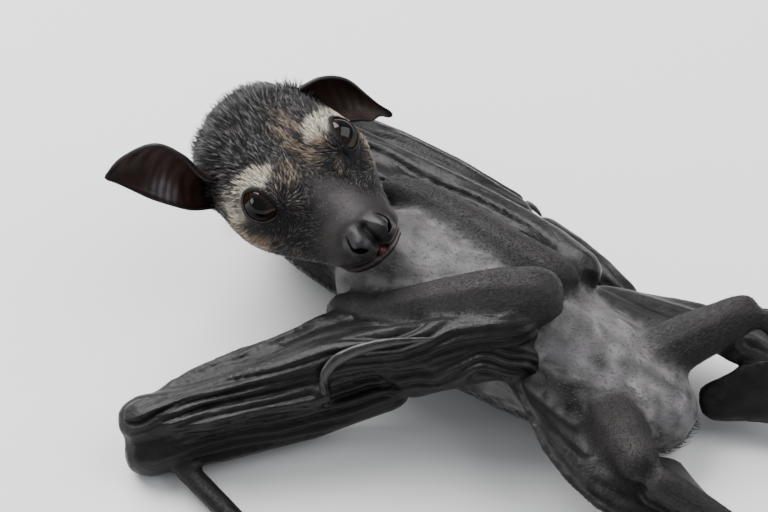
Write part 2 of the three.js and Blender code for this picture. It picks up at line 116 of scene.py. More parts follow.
def smoothstep(low, high, value):
    t = np.clip((value - low) / (high - low), 0.0, 1.0)
    return t * t * (3.0 - 2.0 * t)


def patch(places, centre, radii, soft=0.35):
    """1 inside an ellipsoid, falling to 0 over a soft rim."""
    reach = np.linalg.norm((places - np.array(centre)) / np.array(radii), axis=1)
    return 1.0 - smoothstep(1.0 - soft, 1.0 + soft, reach)


def both_sides(places, centre, radii, soft=0.35):
    mirrored = (centre[0], -centre[1], centre[2])
    return np.maximum(patch(places, centre, radii, soft), patch(places, mirrored, radii, soft))


def roughness_field(points, size, seed, octaves=3):
    """Smooth noise from -1 to 1 with features of about the given size in millimetres."""
    scaled = points / (size * MM) + seed * 17.3
    return np.array([noise.fractal(Vector(p), 1.0, 2.0, octaves) for p in scaled])


# ---------------------------------------------------------------- mesh helpers


def new_object(name, mesh):
    made = bpy.data.objects.new(name, mesh)
    bpy.context.scene.collection.objects.link(made)
    return made


def mesh_from(name, points, faces):
    mesh = bpy.data.meshes.new(name)
    mesh.from_pydata([tuple(p) for p in points], [], [tuple(f) for f in faces])
    mesh.update()
    return mesh


def get_points(mesh):
    points = np.empty(len(mesh.vertices) * 3, np.float32)
    mesh.vertices.foreach_get("co", points)
    return points.reshape(-1, 3).astype(float)


def set_points(mesh, points):
    mesh.vertices.foreach_set("co", np.ascontiguousarray(points, np.float32).ravel())
    mesh.update()


def get_normals(mesh):
    normals = np.empty(len(mesh.vertices) * 3, np.float32)
    mesh.vertex_normals.foreach_get("vector", normals)
    return normals.reshape(-1, 3).astype(float)


def get_edges(mesh):
    edges = np.empty(len(mesh.edges) * 2, np.int32)
    mesh.edges.foreach_get("vertices", edges)
    return edges.reshape(-1, 2)


def neighbour_mean(values, edges):
    count = len(values)
    degree = np.maximum(np.bincount(edges.ravel(), minlength=count), 1)
    columns = values.reshape(count, -1)
    total = np.stack([
        np.bincount(edges[:, 0], weights=column[edges[:, 1]], minlength=count)
        + np.bincount(edges[:, 1], weights=column[edges[:, 0]], minlength=count)
        for column in columns.T
    ], axis=1) / degree[:, None]
    return total.reshape(values.shape)


# how many times a surface or a field over it is evened out
CLOSING_PASSES = 10
SKIN_PASSES = 10
MASK_PASSES = 6
DEPTH_PASSES = 4
FACE_PASSES = 6
FOLD_BASE_PASSES = 24
FOLD_OUTWARD_PASSES = 14
RIM_PASSES = 24


def spread(values, edges, passes):
    """Evens a field out along the edges of the mesh."""
    for _ in range(passes):
        values = 0.5 * values + 0.5 * neighbour_mean(values, edges)
    return values


def smoothed(points, edges, passes, weight=None):
    """Takes out facets and steps without shrinking the form."""
    weight = 1.0 if weight is None else weight[:, None]
    for _ in range(passes):
        for pull in (0.5, -0.52):
            points = points + weight * pull * (neighbour_mean(points, edges) - points)
    return points


def apply_modifiers(holder):
    depsgraph = bpy.context.evaluated_depsgraph_get()
    done = bpy.data.meshes.new_from_object(holder.evaluated_get(depsgraph))
    old = holder.data
    holder.modifiers.clear()
    holder.data = done
    bpy.data.meshes.remove(old)
    return done


def set_smooth(mesh):
    mesh.polygons.foreach_set("use_smooth", [True] * len(mesh.polygons))


def put_attribute(mesh, name, kind, values, domain="POINT"):
    attribute = mesh.attributes.get(name) or mesh.attributes.new(name, kind, domain)
    field = {"FLOAT": "value", "FLOAT_VECTOR": "vector", "FLOAT_COLOR": "color"}[kind]
    if kind == "FLOAT_COLOR" and values.shape[1] == 3:
        values = np.concatenate([values, np.ones((len(values), 1))], axis=1)
    attribute.data.foreach_set(field, np.ascontiguousarray(values, np.float32).ravel())


def finish_piece(made, name, nodes=()):
    made.name = name
    made.data.name = name
    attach(made, "root")
    if nodes:
        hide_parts(*nodes)
    return made


# ---------------------------------------------------------------- the skin


THIN_SWELL = 0.00025


def nodes_as_one(nodes, swell):
    """The CAD solids of the flesh, merged, each a little swollen so that they meet."""
    gathered = bmesh.new()
    for node in nodes:
        loose = bmesh.new()
        loose.from_mesh(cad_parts[node].data)
        bmesh.ops.remove_doubles(loose, verts=loose.verts, dist=1e-6)
        loose.normal_update()
        for vertex in loose.verts:
            vertex.co += vertex.normal * (swell + THIN_SWELL * ("membrane" in node))
        part = bpy.data.meshes.new(node + "_part")
        loose.to_mesh(part)
        loose.free()
        gathered.from_mesh(part)
        bpy.data.meshes.remove(part)
    mesh = bpy.data.meshes.new("gathered")
    gathered.to_mesh(mesh)
    gathered.free()
    return mesh


# kind of part, side: how deep its creases are closed, and for the wings where the closing ends
CLOSED = (
    (("forearm", "hand", "thumb", "fingers", "front_membrane"), "right", 3.8, (46, -10, 24)),
    (("forearm", "hand", "thumb", "fingers", "front_membrane"), "left", 2.0, (-20, 24, 9)),
    (("thigh", "flank_membrane"), "right", 1.8, None),
    (("thigh", "flank_membrane"), "left", 1.8, None),
)
CLOSING_GRAIN = 0.0008
CLAW_SHEATHS = (((17.2, -37.2, 18.0), 2.2), ((-38.9, 12.6, 7.7), 2.1))      # place, radius


def close_creases(flesh):
    """Fills the creases of the folded wings and of the groins, and sheathes the roots of the thumb claws."""
    shape = bmesh.new()
    shape.from_mesh(flesh)
    for parts, side, radius, cut in CLOSED:
        nodes = [f"{part}_{side}" for part in parts] + ([] if cut else ["trunk"])
        holder = new_object("closing", nodes_as_one(nodes, radius * MM))
        grown = holder.modifiers.new("remesh", "REMESH")
        grown.mode = "VOXEL"
        grown.voxel_size = CLOSING_GRAIN
        mesh = apply_modifiers(holder)
        edges = get_edges(mesh)
        set_points(mesh, smoothed(get_points(mesh), edges, CLOSING_PASSES))
        inward = spread(get_normals(mesh), edges, 3)
        inward /= np.maximum(np.linalg.norm(inward, axis=1), 1e-9)[:, None]
        set_points(mesh, get_points(mesh) - inward * radius * MM)
        if cut:
            knob = bmesh.new()
            knob.from_mesh(mesh)
            at = on_body(*cut)
            outward = (on_body(*WRISTS[side]) - at).normalized()
            geometry = knob.verts[:] + knob.edges[:] + knob.faces[:]
            bmesh.ops.bisect_plane(knob, geom=geometry, plane_co=at, plane_no=outward, clear_inner=True)
            bmesh.ops.holes_fill(knob, edges=[e for e in knob.edges if e.is_boundary])
            knob.to_mesh(mesh)
            knob.free()
        shape.from_mesh(mesh)
        bpy.data.objects.remove(holder)
        bpy.data.meshes.remove(mesh)
    for place, radius in CLAW_SHEATHS:
        at = Matrix.Translation(on_body(*place))
        bmesh.ops.create_icosphere(shape, subdivisions=3, radius=radius * MM, matrix=at)
    shape.to_mesh(flesh)
    shape.free()


def node_finder(nodes):
    """A search tree over the faces of these nodes, and which node each face belongs to."""
    points, faces, owners = [], [], []
    for index, node in enumerate(nodes):
        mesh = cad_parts[node].data
        start = len(points)
        points.extend(v.co.copy() for v in mesh.vertices)
        for polygon in mesh.polygons:
            faces.append([start + i for i in polygon.vertices])
            owners.append(index)
    return BVHTree.FromPolygons(points, faces), np.array(owners)


def subdivide_where(mesh, chosen):
    """Halves the edges whose two ends are both chosen."""
    shape = bmesh.new()
    shape.from_mesh(mesh)
    shape.verts.ensure_lookup_table()
    edges = [e for e in shape.edges if chosen[e.verts[0].index] and chosen[e.verts[1].index]]
    bmesh.ops.subdivide_edges(shape, edges=edges, cuts=1, use_grid_fill=True)
    shape.to_mesh(mesh)
    shape.free()
    mesh.update()


class EyeFrame:
    """Angles over one eyeball, in degrees: x towards the nose, y towards the crown."""

    def __init__(self, side):
        sign = -1 if side == "right" else 1
        self.centre = np.array([EYE_PLACE[0], sign * EYE_PLACE[1], EYE_PLACE[2]])
        gaze = Vector((0.46, sign * 0.70, 0.54)).normalized()
        inward = Vector((1.0, -sign * 0.15, -0.30))
        inward = (inward - gaze * inward.dot(gaze)).normalized()
        upward = inward.cross(gaze) * (1 if side == "left" else -1)
        if upward.z < 0:
            upward = -upward
        self.axes = np.array([inward, upward, gaze])

    def angles(self, places):
        offset = places - self.centre
        distance = np.linalg.norm(offset, axis=1)
        local = offset @ self.axes.T / np.maximum(distance, 1e-9)[:, None]
        theta = np.degrees(np.arccos(np.clip(local[:, 2], -1, 1)))
        flat = np.maximum(np.hypot(local[:, 0], local[:, 1]), 1e-9)
        return theta * local[:, 0] / flat, theta * local[:, 1] / flat, distance

    def place(self, x, y, radius):
        theta = np.radians(np.hypot(x, y))
        flat = np.maximum(np.hypot(x, y), 1e-9)
        local = np.stack([np.sin(theta) * x / flat, np.sin(theta) * y / flat, np.cos(theta)], axis=1)
        return self.centre + (local @ self.axes) * np.asarray(radius)[:, None]


OPENING_INNER = 58.0      # degrees from the middle of the pupil to the inner corner
OPENING_OUTER = 51.0
OPENING_UP = 41.0
OPENING_DOWN = 40.0


def opening_value(x, y):
    """Under 1 inside the opening of the lids, 1 on their edge."""
    across = np.where(x > 0, x / OPENING_INNER, x / OPENING_OUTER)
    height = np.where(y > 0, y / OPENING_UP, y / OPENING_DOWN)
    return np.abs(across) ** 1.9 + np.abs(height) ** 1.7


def lids(mesh):
    """Draws the skin over each eyeball, opens it, and gives the lids a thick edge."""
    for side in SIDES:
        eye = EyeFrame(side)
        places = head_places(get_points(mesh))
        x, y, distance = eye.angles(places)
        near = (distance < EYE_RADIUS + 3.6) & (np.hypot(x, y) < 100)
        value = np.full(len(places), 9.0)
        value[near] = opening_value(x[near], y[near])
        shape = bmesh.new()
        shape.from_mesh(mesh)
        shape.verts.ensure_lookup_table()
        inside = near & (value < 0.93)
        doomed = [f for f in shape.faces if all(inside[v.index] for v in f.verts)]
        bmesh.ops.delete(shape, geom=doomed, context="FACES")
        shape.verts.index_update()
        shape.edges.index_update()
        shape.to_mesh(mesh)
        rim_edges = []
        for edge in shape.edges:
            if edge.is_boundary:
                place = head_places(np.array([edge.verts[0].co]))[0]
                if np.linalg.norm(place - eye.centre) < EYE_RADIUS + 3.8:
                    rim_edges.append(edge.index)
        rim = sorted({v for i in rim_edges for v in mesh.edges[i].vertices})
        shape.free()
        points = get_points(mesh)
        places = head_places(points)
        x, y, distance = eye.angles(places)
        near = (distance < EYE_RADIUS + 4.5) & (np.hypot(x, y) < 105)
        on_rim = np.zeros(len(points), bool)
        on_rim[rim] = True
        for _ in range(RIM_PASSES):
            pull = np.clip(opening_value(x, y) ** -0.55, 0.7, 1.4)
            x = np.where(on_rim, x * pull, x)
            y = np.where(on_rim, y * pull, y)
        value = opening_value(x, y)
        lid = EYE_RADIUS + LID_EDGE + LID_RISE * smoothstep(1.0, 1.3, value)
        share = 1.0 - smoothstep(1.25, 2.4, value)
        radius = distance * (1 - share) + lid * share
        radius = np.where(near & (value < 2.4), np.maximum(radius, np.where(value < 1.3, lid, 0)), distance)
        places = np.where(near[:, None], eye.place(x, y, radius), places)
        # the fold between eyeball and face is filled softly
        edges = get_edges(mesh)
        value = np.where(near, value, 9.0)
        hold = smoothstep(1.12, 1.5, value) * (1 - smoothstep(EYE_RADIUS + 2.2, EYE_RADIUS + 4.2, distance))
        for _ in range(26):
            places = places + 0.6 * hold[:, None] * (neighbour_mean(places, edges) - places)
        crease = np.exp(-((value - 1.75) / 0.16) ** 2) * smoothstep(0, 14, y) * near
        x, y, distance = eye.angles(places)
        places = np.where(near[:, None], eye.place(x, y, distance - 0.28 * crease), places)
        set_points(mesh, places * MM @ np.array(HEAD_TURNED).T + np.array(HEAD_ORIGIN))
        shape = bmesh.new()
        shape.from_mesh(mesh)
        shape.edges.ensure_lookup_table()
        chosen = [shape.edges[i] for i in rim_edges]
        made = bmesh.ops.extrude_edge_only(shape, edges=chosen)
        for vertex in (g for g in made["geom"] if isinstance(g, bmesh.types.BMVert)):
            place = head_places(np.array([vertex.co]))
            ex, ey, _ = eye.angles(place)
            inner = eye.place(ex * 1.03, ey * 1.03, np.array([EYE_RADIUS - 0.3]))[0]
            vertex.co = on_head(*inner)
        shape.to_mesh(mesh)
        shape.free()
        mesh.update()


LID_EDGE = 0.10
LID_RISE = 0.32
MOUTH_FRONT = -6.1
GAPE_MIDDLE = 0.2


def mouth_line(places):
    """Millimetres over the line of the lips, how much of a mouth there is, and how wide it gapes."""
    forward, left, up = places.T
    height = MOUTH_FRONT - 1.3 * smoothstep(31.5, 25, forward) + 0.9 * smoothstep(22, 12, forward)
    gape = smoothstep(28, 31, forward) * (1 - smoothstep(0.9, 2.1, np.abs(left - GAPE_MIDDLE)))
    return up - height, smoothstep(9.5, 14, forward), gape


def nostril_fields(places, sign):
    """Places seen face on to a nostril: along its opening, over it, and out from it."""
    centre = np.array([NOSTRIL_PLACE[0], NOSE_MIDDLE + sign * NOSTRIL_PLACE[1], NOSTRIL_PLACE[2]])
    offset = places - centre
    wide = offset @ np.array([0.56, -0.74 * sign, -0.38])
    high = offset @ np.array([-0.42, -0.64 * sign, 0.64])
    return wide, high, offset @ np.array([0.66, 0.19 * sign, 0.72])


def nostril_pit(places, sign):
    """How deep a nostril goes, from 0 to 1, with its slit that runs round the outside of the bulb."""
    wide, high, out = nostril_fields(places, sign)
    turn = np.maximum(-wide - 1.2, 0)
    off = (high - 0.06 * wide**2 - 1.2 * turn**1.5) / np.sqrt(1 + 3.2 * turn)
    half = 0.16 + 0.36 * np.exp(-((wide / 1.1) ** 2))
    inside = 1 - smoothstep(0.6, 1.3, np.abs(off) / half)
    ends = smoothstep(-2.9, -2.2, wide) * (1 - smoothstep(1.0, 1.7, wide))
    near = smoothstep(-2.6, -1.4, out) * (1 - smoothstep(2.5, 3.5, out))
    return inside * ends * near * (0.28 + 0.72 * np.exp(-((wide / 1.3) ** 2)))


def sculpt_face(mesh):
    """Muzzle, tubular nostrils, lips and the parted mouth, and where painted shade darkens the line of the
    lips, the nostril pits, the groove between them and the space under the nose.
    """
    points = get_points(mesh)
    normals = get_normals(mesh)
    places = head_places(points)
    upward = normals @ np.array(HEAD_TURNED @ Vector((0, 0, 1)))
    lip, mouth, gape = mouth_line(places)
    mouth = mouth * (np.abs(upward) < 0.85)
    push = -(0.6 + 2.0 * gape) * np.exp(-((lip / (0.34 + 0.5 * gape)) ** 2)) * mouth
    upper_lip = 0.28 * np.exp(-(((lip - 1.5) / 0.8) ** 2)) * mouth
    lower_lip = 0.30 * np.exp(-(((lip + 1.6) / 0.8) ** 2)) * mouth
    push += upper_lip + lower_lip
    push -= 0.6 * both_sides(places, (18.5, 7.0, -1.5), (5, 3, 3.5), 0.7)
    push += 0.35 * patch(places, (20, 0, 2.5), (9, 2.6, 5), 0.8)
    points = points + normals * push[:, None] * MM
    # painted shade along the line of the lips
    dark = np.exp(-((lip / (0.42 + 0.45 * gape)) ** 2)) * mouth
    for sign in (-1, 1):
        wide, high, out = nostril_fields(head_places(points), sign)
        bulb = np.exp(-((wide / 1.9) ** 2) - ((high - 2.1) / 1.7) ** 2) * smoothstep(-3, -1.5, out)
        rim = np.exp(-((wide / 1.6) ** 2) - ((high + 1.0) / 0.45) ** 2) * smoothstep(-2, -1, out)
        waist = np.exp(-(((np.hypot(wide * 0.9, high - 2.1) - 3.3) / 0.7) ** 2)) * smoothstep(-3, -1.5, out)
        move = np.array(HEAD_TURNED) @ np.array([0.66, 0.19 * sign, 0.72])
        points = points + move * (0.55 * bulb + 0.22 * rim - 0.22 * waist)[:, None] * MM
    places = head_places(points)
    front = smoothstep(26.6, 28.6, places[:, 0]) * smoothstep(-6.0, -4.6, places[:, 2])
    groove = np.exp(-(((places[:, 1] - NOSE_MIDDLE) / 0.75) ** 2)) * front
    points = points - np.array(HEAD_TURNED @ Vector((0.72, 0, 0.69))) * (groove * 1.3)[:, None] * MM
    for sign in (-1, 1):
        pit = nostril_pit(head_places(points), sign)
        inward = np.array(HEAD_TURNED) @ np.array([0.70, 0.30 * sign, 0.64])
        points = points - inward * (pit * 2.4)[:, None] * MM
        # painted shade in the nostril pits
        dark = np.maximum(dark, smoothstep(0.12, 0.5, pit))
    # painted shade in the groove between the nostrils and under the nose; with the lips and pits it is kept
    # as the hollow field
    shade = patch(head_places(points), (32.0, 0.8, -4.2), (1.7, 2.0, 1.6), 0.5)
    hollow = np.maximum(dark, np.maximum(0.75 * groove, 0.7 * shade))
    put_attribute(mesh, "hollow", "FLOAT", np.clip(hollow, 0, 1))
    set_points(mesh, points)


FOLD_FACING = (0.0, -0.643, 0.766)     # the folds are evenly spaced seen from here
FOLD_STRETCH = 15.0
STREAKED_LIMBS = tuple(f"{limb}_{side}" for limb in ("upper_arm", "thigh", "shank") for side in SIDES)
STREAK_SIZE = 1.2         # of the fine furrows in the short hair of the limbs


def fold_places(points, start, end, size, gather, unrest):
    """Places counted in folds: across the limb, along it, and out from it."""
    a, b = np.array(on_body(*start)), np.array(on_body(*end))
    reach = np.linalg.norm(b - a)
    along = (b - a) / reach
    across = np.cross(along, FOLD_FACING)
    across /= np.linalg.norm(across)
    outward = np.cross(across, along)
    offset = points - a
    length = offset @ along
    close = 1 - gather * smoothstep(0.55, 1.05, length / reach)
    sway = np.array([noise.noise(Vector(p)) for p in offset / 0.016 + 3.0])
    kinks = np.array([noise.noise(Vector(p)) for p in offset / 0.006 + 9.0])
    fan = (offset @ across + 0.25 * (offset @ outward)) / (size * MM * close)
    fan = fan + 0.75 * sway + unrest * (0.9 * sway + 0.8 * kinks)
    return np.stack([fan, length / (size * FOLD_STRETCH * MM), (offset @ outward) / (6 * size * MM)], axis=1)


def wrinkle_wings(mesh, masks):
    """Long soft folds of the folded wings; their places are kept for the finer lines of the leather, and how
    deep each place lies between two folds is kept for painted shade.
    """
    edges = get_edges(mesh)
    folded = np.minimum(sum(masks[name] for name in masks if name.startswith(FOLDED_PARTS)), 1)
    points = smoothed(get_points(mesh), edges, FOLD_BASE_PASSES, folded)
    outward = spread(get_normals(mesh), edges, FOLD_OUTWARD_PASSES)
    outward /= np.maximum(np.linalg.norm(outward, axis=1), 1e-9)[:, None]
    count = len(points)
    push, fold = np.zeros(count), np.zeros((count, 3))
    amount, crease_shade = np.zeros(count), np.zeros(count)
    for side, folds in WING_FOLDS.items():
        for parts, (start, end, size, depth, gather, unrest) in folds.items():
            mask = summed(masks, *(f"{part}_{side}" for part in parts.split()))
            chosen = mask > 0.02
            if not chosen.any():
                continue
            places = fold_places(points[chosen], start, end, size, gather, unrest)
            vary = np.array([noise.noise(Vector((p[0] * 0.35, p[1] * 1.6, p[2]))) for p in places])
            ridge = np.sqrt(np.sin(math.pi * places[:, 0]) ** 2 + 0.02)
            minor = np.abs(np.sin(math.pi * (places[:, 0] * 2.3 + 0.4 + 0.8 * vary)))
            strength = np.clip(0.75 + 0.9 * vary, 0.15, 1.25)
            thin = summed(masks, *(f"{part}_{side}" for part in parts.split() if "membrane" in part))[chosen]
            rise = (ridge - 0.75 + 0.61 * thin + 0.12 * (minor - 0.6)) * (1 - 0.45 * thin)
            push[chosen] += mask[chosen] * depth * strength * rise
            own = chosen & (mask > amount)
            mine = (mask > amount)[chosen]
            fold[own] = places[mine]
            # painted shade: the deeper a place lies between two folds, the darker its skin is painted
            crease_shade[own] = ((1 - ridge) * strength)[mine]
            amount = np.maximum(amount, mask)
    calm = np.ones(count)
    for wrist in WRISTS.values():
        near = np.linalg.norm(body_places(points) - np.array(wrist), axis=1)
        calm = np.minimum(calm, 0.05 + 0.95 * smoothstep(6, 18, near))
    calm = calm * smoothstep(0.05, 0.65, outward @ np.array(FOLD_FACING))
    push, crease_shade = push * calm, crease_shade * calm
    for node in STREAKED_LIMBS:
        (start, end), mask = LIMB_LINES[node], masks[node]
        a, b = np.array(on_body(*start)), np.array(on_body(*end))
        along = (b - a) / np.linalg.norm(b - a)
        side = np.cross(along, (0, 0, 1.0))
        side /= np.linalg.norm(side)
        offset = (points - a) / (STREAK_SIZE * MM)
        streaks = np.stack([
            offset @ side, offset @ along / FOLD_STRETCH, offset @ np.cross(side, along)], axis=1)
        own = mask > amount
        fold[own] = streaks[own]
        amount = np.maximum(amount, mask)
    put_attribute(mesh, "fold_place", "FLOAT_VECTOR", fold)
    haired = summed(masks, *STREAKED_LIMBS)
    put_attribute(mesh, "fold_amount", "FLOAT", smoothstep(0.5, 0.85, amount) * (1 - 0.5 * haired))
    put_attribute(mesh, "fold_crease_shade", "FLOAT", np.clip(crease_shade, 0, 1) * (1 - haired))
    points = points + outward * spread(push, edges, 1)[:, None] * MM
    set_points(mesh, smoothed(points, edges, 3, folded))


# parts: start and end on the body, width and depth of a fold, how far they gather, how crumpled
WING_FOLDS = {
    "right": {
        "forearm hand thumb front_membrane": ((47, -10, 24), (-14, -61, 6.5), 2.1, 0.9, 0.35, 0.15),
        "fingers": ((25, -25, 13.5), (50, -11, 22.5), 2.0, 0.9, 0.0, 1.0),
        "flank_membrane": ((44, -14, 20), (96, -20, 9), 3.0, 0.5, 0.3, 0.3),
        "index_finger": ((-3, -57.6, 4.4), (44, -66.6, 2.2), 2.2, 0.0, 0.0, 0.0),
        "rear_membrane": ((70, -12, 12), (108, -12, 6), 3.4, 0.5, 0.0, 0.5),
    },
    "left": {
        "forearm hand thumb front_membrane": ((44, 20, 14), (-34, 30, 6), 2.4, 0.8, 0.3, 0.15),
        "fingers": ((24, 30.8, 5), (54, 21.5, 7.5), 2.2, 0.8, 0.0, 0.8),
        "flank_membrane": ((44, 14, 16), (96, 20, 9), 3.0, 0.5, 0.3, 0.3),
        "index_finger": ((-32, 36.6, 3.6), (18, 38.4, 2.4), 2.2, 0.0, 0.0, 0.0),
        "rear_membrane": ((70, 12, 12), (108, 12, 6), 3.4, 0.5, 0.0, 0.5),
    },
}
WRISTS = {"right": (-12.0, -60.0, 6.0), "left": (-33.0, 30.0, 6.0)}

# An ear is a bent leaf: rows of (share of its length, radius, half-angle in degrees, bend sideways).
EARS = {
    "right": {
        "base": (-5, -12, 1.8), "tip": (-11.4, -28.9, 16.8), "opening": (0.75, -0.3, 0.1), "slant": 0.0,
        "ridge": 0.14,
        "leaf": ((0.0, 3.6, 105, 0), (0.2, 4.2, 92, 0), (0.45, 6.3, 73, 3.1), (0.7, 7.6, 55, 4.5),
                 (0.9, 6.6, 30, 2.3), (1.0, 4.6, 13, 0)),
    },
    "left": {
        "base": (-4, 13, 1.5), "tip": (4, 24.2, -7.4), "opening": (0.8, 0.3, 0.1), "slant": 0.25,
        "ridge": 0.04,
        "leaf": ((0.0, 2.9, 105, 0.2), (0.2, 4.2, 90, -1.5), (0.45, 4.4, 73, -2.1), (0.7, 3.9, 44, -0.9),
                 (0.85, 3.2, 23, -0.6), (1.0, 3.2, 14, 0)),
    },
}
EAR_ARCH = 1.0
EAR_STEPS = (58, 44)
EAR_RIDGES = 8


def ear_leaf(side):
    """A thin curved shell with fine ridges across its hollow side and a rounded rim."""
    ear = EARS[side]
    root, tip = on_head(*ear["base"]), on_head(*ear["tip"])
    reach = tip - root
    facing = (HEAD_TURNED @ Vector(ear["opening"])).normalized()
    across = reach.cross(facing).normalized()
    inward = across.cross(reach).normalized()
    rows, columns = EAR_STEPS

    def surface(u, v):
        radius, degrees, bend = smooth_rows(ear["leaf"], u)
        angle = math.radians(degrees) * (2 * v - 1)
        arch = EAR_ARCH * math.sin(math.pi * u)
        return (root + reach * (u + ear["slant"] * (1 - u) * math.sin(angle))
                + across * (radius * math.sin(angle) + bend) * MM
                + inward * (radius * (1 - math.cos(angle)) + arch) * MM)

    heights = [1 - (1 - i / rows) ** 1.35 for i in range(rows + 1)]
    grid = np.array([[surface(*leaf_share(u, j / columns)) for j in range(columns + 1)] for u in heights])
    along_u = np.gradient(grid, axis=0)
    along_v = np.gradient(grid, axis=1)
    normal = np.cross(along_u, along_v)
    normal /= np.linalg.norm(normal, axis=2, keepdims=True)
    if np.sum(normal * np.array(inward)) < 0:
        normal = -normal
    u = np.array(heights)[:, None]
    v = np.linspace(0, 1, columns + 1)[None, :]
    rim = np.minimum(np.minimum(v, 1 - v) * 1.3, (1 - u) * 1.1)
    half = (0.22 + 0.22 * smoothstep(0.0, 0.35, rim) + 0.12 * np.exp(-((rim - 0.035) / 0.03) ** 2)) * MM
    window = smoothstep(0.08, 0.25, v) * (1 - smoothstep(0.72, 0.92, v)) * smoothstep(0.12, 0.3, u) \
        * (1 - smoothstep(0.72, 0.95, u))
    waves = np.sin(2 * math.pi * (u * EAR_RIDGES + 2.2 * (v - 0.5) ** 2 + 0.5 * v))
    ridges = EARS[side]["ridge"] * MM * window * waves
    rolled = 0.5 * MM * np.exp(-(rim / 0.05) ** 2)
    hollow = grid + normal * (half + ridges + rolled)[..., None]
    back = grid - normal * (half - rolled)[..., None]
    points = np.concatenate([hollow.reshape(-1, 3), back.reshape(-1, 3)])
    sheet = (rows + 1) * (columns + 1)
    faces = []
    for i in range(rows):
        for j in range(columns):
            a = i * (columns + 1) + j
            faces.append((a, a + columns + 1, a + columns + 2, a + 1))
            faces.append((sheet + a, sheet + a + 1, sheet + a + columns + 2, sheet + a + columns + 1))
    border = [i * (columns + 1) for i in range(rows + 1)]
    border += [rows * (columns + 1) + j for j in range(1, columns + 1)]
    border += [i * (columns + 1) + columns for i in range(rows - 1, -1, -1)]
    border += [j for j in range(columns - 1, 0, -1)]
    for k, a in enumerate(border):
        b = border[(k + 1) % len(border)]
        faces.append((a, b, b + sheet, a + sheet))
    mesh = mesh_from("ear_" + side, points, faces)
    shape = bmesh.new()
    shape.from_mesh(mesh)
    bmesh.ops.recalc_face_normals(shape, faces=shape.faces)
    shape.to_mesh(mesh)
    shape.free()
    share = np.concatenate([np.repeat(u, columns + 1, axis=1).ravel()] * 2)
    put_attribute(mesh, "ear_share", "FLOAT", share)
    put_attribute(mesh, "ear_rim", "FLOAT", np.concatenate([rim.ravel()] * 2))
    inner = np.concatenate([np.ones(sheet), np.zeros(sheet)])
    put_attribute(mesh, "ear_inner", "FLOAT", inner)
    put_attribute(mesh, "ear_side", "FLOAT", np.concatenate([np.repeat(v, rows + 1, axis=0).ravel()] * 2))
    return mesh


def leaf_share(u, v):
    """Rounds the tip of the leaf: the outer rows draw in towards the middle line."""
    round_off = math.sqrt(max(0.0, 1 - max(0.0, (u - 0.95) / 0.05) ** 2))
    return u, 0.5 + (v - 0.5) * max(round_off, 0.35)


def smooth_rows(rows, place):
    """A smooth curve through the rows of a short table."""
    last = len(rows) - 1
    i = 0
    while i < last - 1 and place > rows[i + 1][0]:
        i += 1
    p, q = np.array(rows[i]), np.array(rows[i + 1])
    before, after = np.array(rows[max(i - 1, 0)]), np.array(rows[min(i + 2, last)])
    span = q[0] - p[0]
    t = min(max((place - p[0]) / span, 0.0), 1.0)
    slope_p = (q - before) / (q[0] - before[0]) * span
    slope_q = (after - p) / (after[0] - p[0]) * span
    mixed = ((2 * t**3 - 3 * t**2 + 1) * p + (t**3 - 2 * t**2 + t) * slope_p
             + (3 * t**2 - 2 * t**3) * q + (t**3 - t**2) * slope_q)
    return [float(value) for value in mixed[1:]]


def node_masks(mesh):
    """How much each vertex belongs to each CAD node, softened over the joins."""
    nodes = sorted(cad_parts)
    finder, owners = node_finder(nodes)
    points = get_points(mesh)
    label = np.array([owners[finder.find_nearest(Vector(p))[2]] for p in points])
    edges = get_edges(mesh)
    masks = {}
    for index, node in enumerate(nodes):
        raw = (label == index).astype(float)
        masks[node] = spread(raw, edges, MASK_PASSES) if raw.any() else raw
    return masks


def summed(masks, *names):
    total = np.zeros_like(next(iter(masks.values())))
    for name, mask in masks.items():
        if any(name.startswith(start) for start in names):
            total = total + mask
    return np.clip(total, 0, 1)


def coat_depth(masks, places):
    """Millimetres that the skin lies under the solids, where the hairs stand."""
    head = masks["head"]
    crown = smoothstep(14, -2, places[:, 0]) * smoothstep(-8, 4, places[:, 2])
    depth = head * (0.35 + 0.9 * crown)
    depth += 0.5 * summed(masks, "neck", "upper_arm", "thigh", "shank")
    depth += 0.25 * summed(masks, "trunk")
    return depth


PLAIN_NODES = ("trunk", "neck", "thigh", "shank", "upper_arm", "index_finger", "rear_membrane")
PLAIN_SHARE = 0.20        # of the faces kept where the skin has no folds


def thin_out(holder, masks):
    """Fewer faces on the plain parts, on the sides turned from the folds and under the fur of the head."""
    mesh = holder.data
    places = head_places(get_points(mesh))
    plain = summed(masks, *PLAIN_NODES)
    plain = np.maximum(plain, smoothstep(-0.15, -0.45, get_normals(mesh) @ np.array(FOLD_FACING)))
    plain = np.maximum(plain, masks["head"] * smoothstep(-1, -5, places[:, 0]))
    chosen = np.flatnonzero(plain > 0.5)
    group = holder.vertex_groups.new(name="plain")
    group.add([int(i) for i in chosen], 1.0, "REPLACE")
    fewer = holder.modifiers.new("fewer", "DECIMATE")
    fewer.vertex_group = "plain"
    fewer.ratio = 1 - (1 - PLAIN_SHARE) * len(chosen) / len(mesh.vertices)
    done = apply_modifiers(holder)
    holder.vertex_groups.clear()
    return done


FOLDED_PARTS = ("forearm", "hand", "thumb", "fingers", "front_membrane")
ARM_CALM = 0.6
CALM_PASSES = 140


